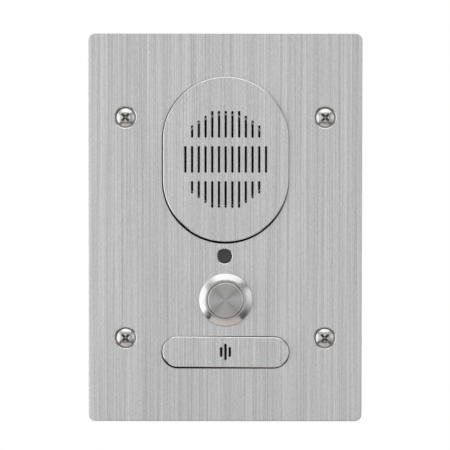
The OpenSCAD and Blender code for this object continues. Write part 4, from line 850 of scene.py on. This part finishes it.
# Cable grommet: black rubber with a round lip on each side of the tub's back and two ribs in its bore.
# It is turned. The field cable isn't part of the station.
stands_for(shaped("ribbed_cable_grommet", turned([
    (3.6, 36.3), (8.6, 36.3), (9, 36.7), (9, 37.4), (8.7, TUB_FLOOR), (6.9, TUB_FLOOR), (6.9, TUB_BACK),
    (8.8, TUB_BACK), (9, 40), (9, 40.6), (8.8, 41), (8.3, 41.25), (7.6, 41.3), (3.9, 41.3), (3.6, 41.1), (3.5, 40.6),
    (3.9, 40.1), (3.9, 39.4), (3.5, 39), (3.9, 38.5), (3.9, 37.4), (3.5, 37)], 0, ENTRY_Z, 64), rubber, 40),
    "cable_grommet")


# Leads: two red ones from the speaker's tags, two black ones from the button's blades and one grey screened one
# from the microphone, each to its socket on the board. The node tree of the spring sweeps them along smooth bends.
LEAD_R, SCREENED_R, STRAIGHT = 0.68, 1.08, 1.5


def route(start, leave, end, arrive, parts=36):
    """Points of a lead that leaves one way and arrives another, and is straight for a little at each end."""
    a, d = Vector(start), Vector(end)
    p, s = a + Vector(leave).normalized() * STRAIGHT, d - Vector(arrive).normalized() * STRAIGHT
    q, r = p + Vector(leave), s - Vector(arrive)
    bend = [(1 - t) ** 3 * p + 3 * (1 - t) ** 2 * t * q + 3 * (1 - t) * t ** 2 * r + t ** 3 * s
            for t in (i / parts for i in range(parts + 1))]
    return [a, *bend, d]


def insulated(name, dark, light):
    """The soft plastic of a lead's insulation: one even colour with a low, waxy sheen."""
    return moulded(name, dark, light, 0.6, 0.4, 0.004)


stands_for(wire_piece("speaker_wires", [
    route((-17.1, 3.394, SPEAKER_Z + 2 * s), (0, 5, 0), (-19, 16.2, SPEAKER_Z + 1.25 * s), (0, 5, 0)) for s in (-1, 1)],
    LEAD_R, 12, insulated("red_lead_insulation", "7E1416", "94191B")), "speaker_leads")
stands_for(wire_piece("button_wires", [
    route((5.05, 28.9, SWITCH_Z), (0, 2, 0), (20.75, 25.55, -14), (0, 0, 10)),
    route((-5.05, 28.9, SWITCH_Z), (0, 12, 0), (23.25, 28.05, -14), (0, 0, 8))],
    LEAD_R, 12, insulated("black_lead_insulation", "141415", "1E1E20")), "button_leads")
stands_for(wire_piece("mic_wire", [
    route((0, 0.65, MIC_Z), (0, 22, 0), (20, 19.2, -14), (0, 0, 26))],
    SCREENED_R, 14, insulated("grey_lead_insulation", "5A5B5E", "68696C")), "mic_lead")


# Studio: a white world and a soft light tent round the line of sight, a box of panels that is brightest above and
# to the left, with dark gaps in its lower corners and a dimmer screen behind the camera. A pale warm floor lies in it.
# The tent's places are in metres, with the strength of its light at its back edge, by the wall, and at its front.
world = bpy.data.worlds.new("white_room")
world.use_nodes = True
wire(world.node_tree.nodes["Background"], {"Color": (1, 1, 1, 1), "Strength": 1.0})
scene.world = world
TENT_BACK, TENT_FRONT, TENT_BROW, FLOOR_Z = 0.24, -1.1, 0.87, -0.9
TENT_ROUND = [
    (1.0, 1.0, 1.0, 0.45), (0.6, 1.0, 1.5, 1.45), (-0.35, 1.0, 1.75, 1.7), (-0.6, 1.0, 1.4, 1.2),
    (-1.0, 1.0, 1.35, 0.6), (-1.0, 0.6, 1.55, 0.6), (-1.0, 0.3, 1.7, 1.5), (-1.0, -0.55, 2.2, 1.4),
    (-1.0, -0.76, 1.0, 0.2), (-1.0, -1.0, 0.05, 0.2), (1.0, -1.0, 0.05, 0.2), (1.0, -0.72, 0.24, 0.24),
    (1.0, -0.4, 0.6, 0.5), (1.0, -0.08, 1.15, 0.85), (1.0, 0.24, 1.3, 0.95), (1.0, 0.56, 0.45, 0.5)]
SCREENS = [
    (-1.0, 0.6, 0.36, TENT_BROW, 0.64), (-1.0, 0.6, -0.34, 0.36, 0.93), (0.6, 1.0, -0.34, TENT_BROW, 0.5),
    (-1.0, 1.0, -0.66, -0.34, 0.6), (-1.0, 1.0, -1.0, -0.66, 0.15)]
count = len(TENT_ROUND)
tent_points = [(x, TENT_BACK, z) for x, z, _, _ in TENT_ROUND]
tent_points += [(x, TENT_FRONT, min(z, TENT_BROW)) for x, z, _, _ in TENT_ROUND]
tent_faces = [(i, (i + 1) % count, count + (i + 1) % count, count + i) for i in range(count)]
glows = [back for _, _, back, _ in TENT_ROUND] + [front for _, _, _, front in TENT_ROUND]
for left, right, foot, top, strength in SCREENS:
    tent_faces.append(range(len(tent_points), len(tent_points) + 4))
    tent_points += [(x, TENT_FRONT, z) for x, z in ((left, top), (right, top), (right, foot), (left, foot))]
    glows += [strength] * 4
tent_mesh = bpy.data.meshes.new("light_tent")
tent_mesh.from_pydata(tent_points, [], tent_faces)
tent_mesh.attributes.new("glow", "FLOAT", "POINT").data.foreach_set("value", glows)
tent_glow = bpy.data.materials.new("tent_panels")
tent_glow.use_nodes = True
tree = tent_glow.node_tree
panels = add(tree, "Emission", {"Strength": add(tree, "Attribute", attribute_name="glow", out="Fac")})
wire(tree.nodes["Material Output"], {"Surface": panels})
tent_mesh.materials.append(tent_glow)
tent = placed("light_tent", tent_mesh)
tent.visible_camera = False
# Floor paint: pale, warm and matt, mottled over about 30 mm.
floor_paint = grained("pale_floor", {"Roughness": 0.8}, "TexNoise", {"Scale": 30, "Detail": 3}, "E2DBD5", "E8E2DD")
floor_mesh = bpy.data.meshes.new("pale_floor")
floor_mesh.from_pydata([(x, y, FLOOR_Z) for x, y in (
    (-0.66, TENT_FRONT), (0.66, TENT_FRONT), (0.66, 0.3), (4, 0.3), (4, 5), (-4, 5), (-4, 0.3), (-0.66, 0.3))],
    [], [range(8)])
floor_mesh.materials.append(floor_paint)
placed("pale_floor", floor_mesh)


# Camera: level with the plate and a little above its middle, 0.9 m away with a long lens, as the photograph was
# taken, and rolled by a hair. Its places are in metres and its turns in degrees.
CAMERA_FAR, CAMERA_RISE, CAMERA_ROLL, VIEW_WIDTH, SENSOR = 0.9, 1.7, 0.06, 0.1878, 36
aim = Vector((-0.0001, FACE / 1000, 0.0012))
lens_data = bpy.data.cameras.new("front_camera")
lens_data.lens = SENSOR * CAMERA_FAR / VIEW_WIDTH
lens_data.clip_start = 0.01
camera = placed("front_camera", lens_data)
camera.location = aim + CAMERA_FAR * Vector((0, -cos(radians(CAMERA_RISE)), sin(radians(CAMERA_RISE))))
camera.rotation_euler = (
    (aim - camera.location).to_track_quat("-Z", "Y") @ Quaternion((0, 0, 1), radians(CAMERA_ROLL))).to_euler()
scene.camera = camera
scene.view_settings.view_transform = "Standard"
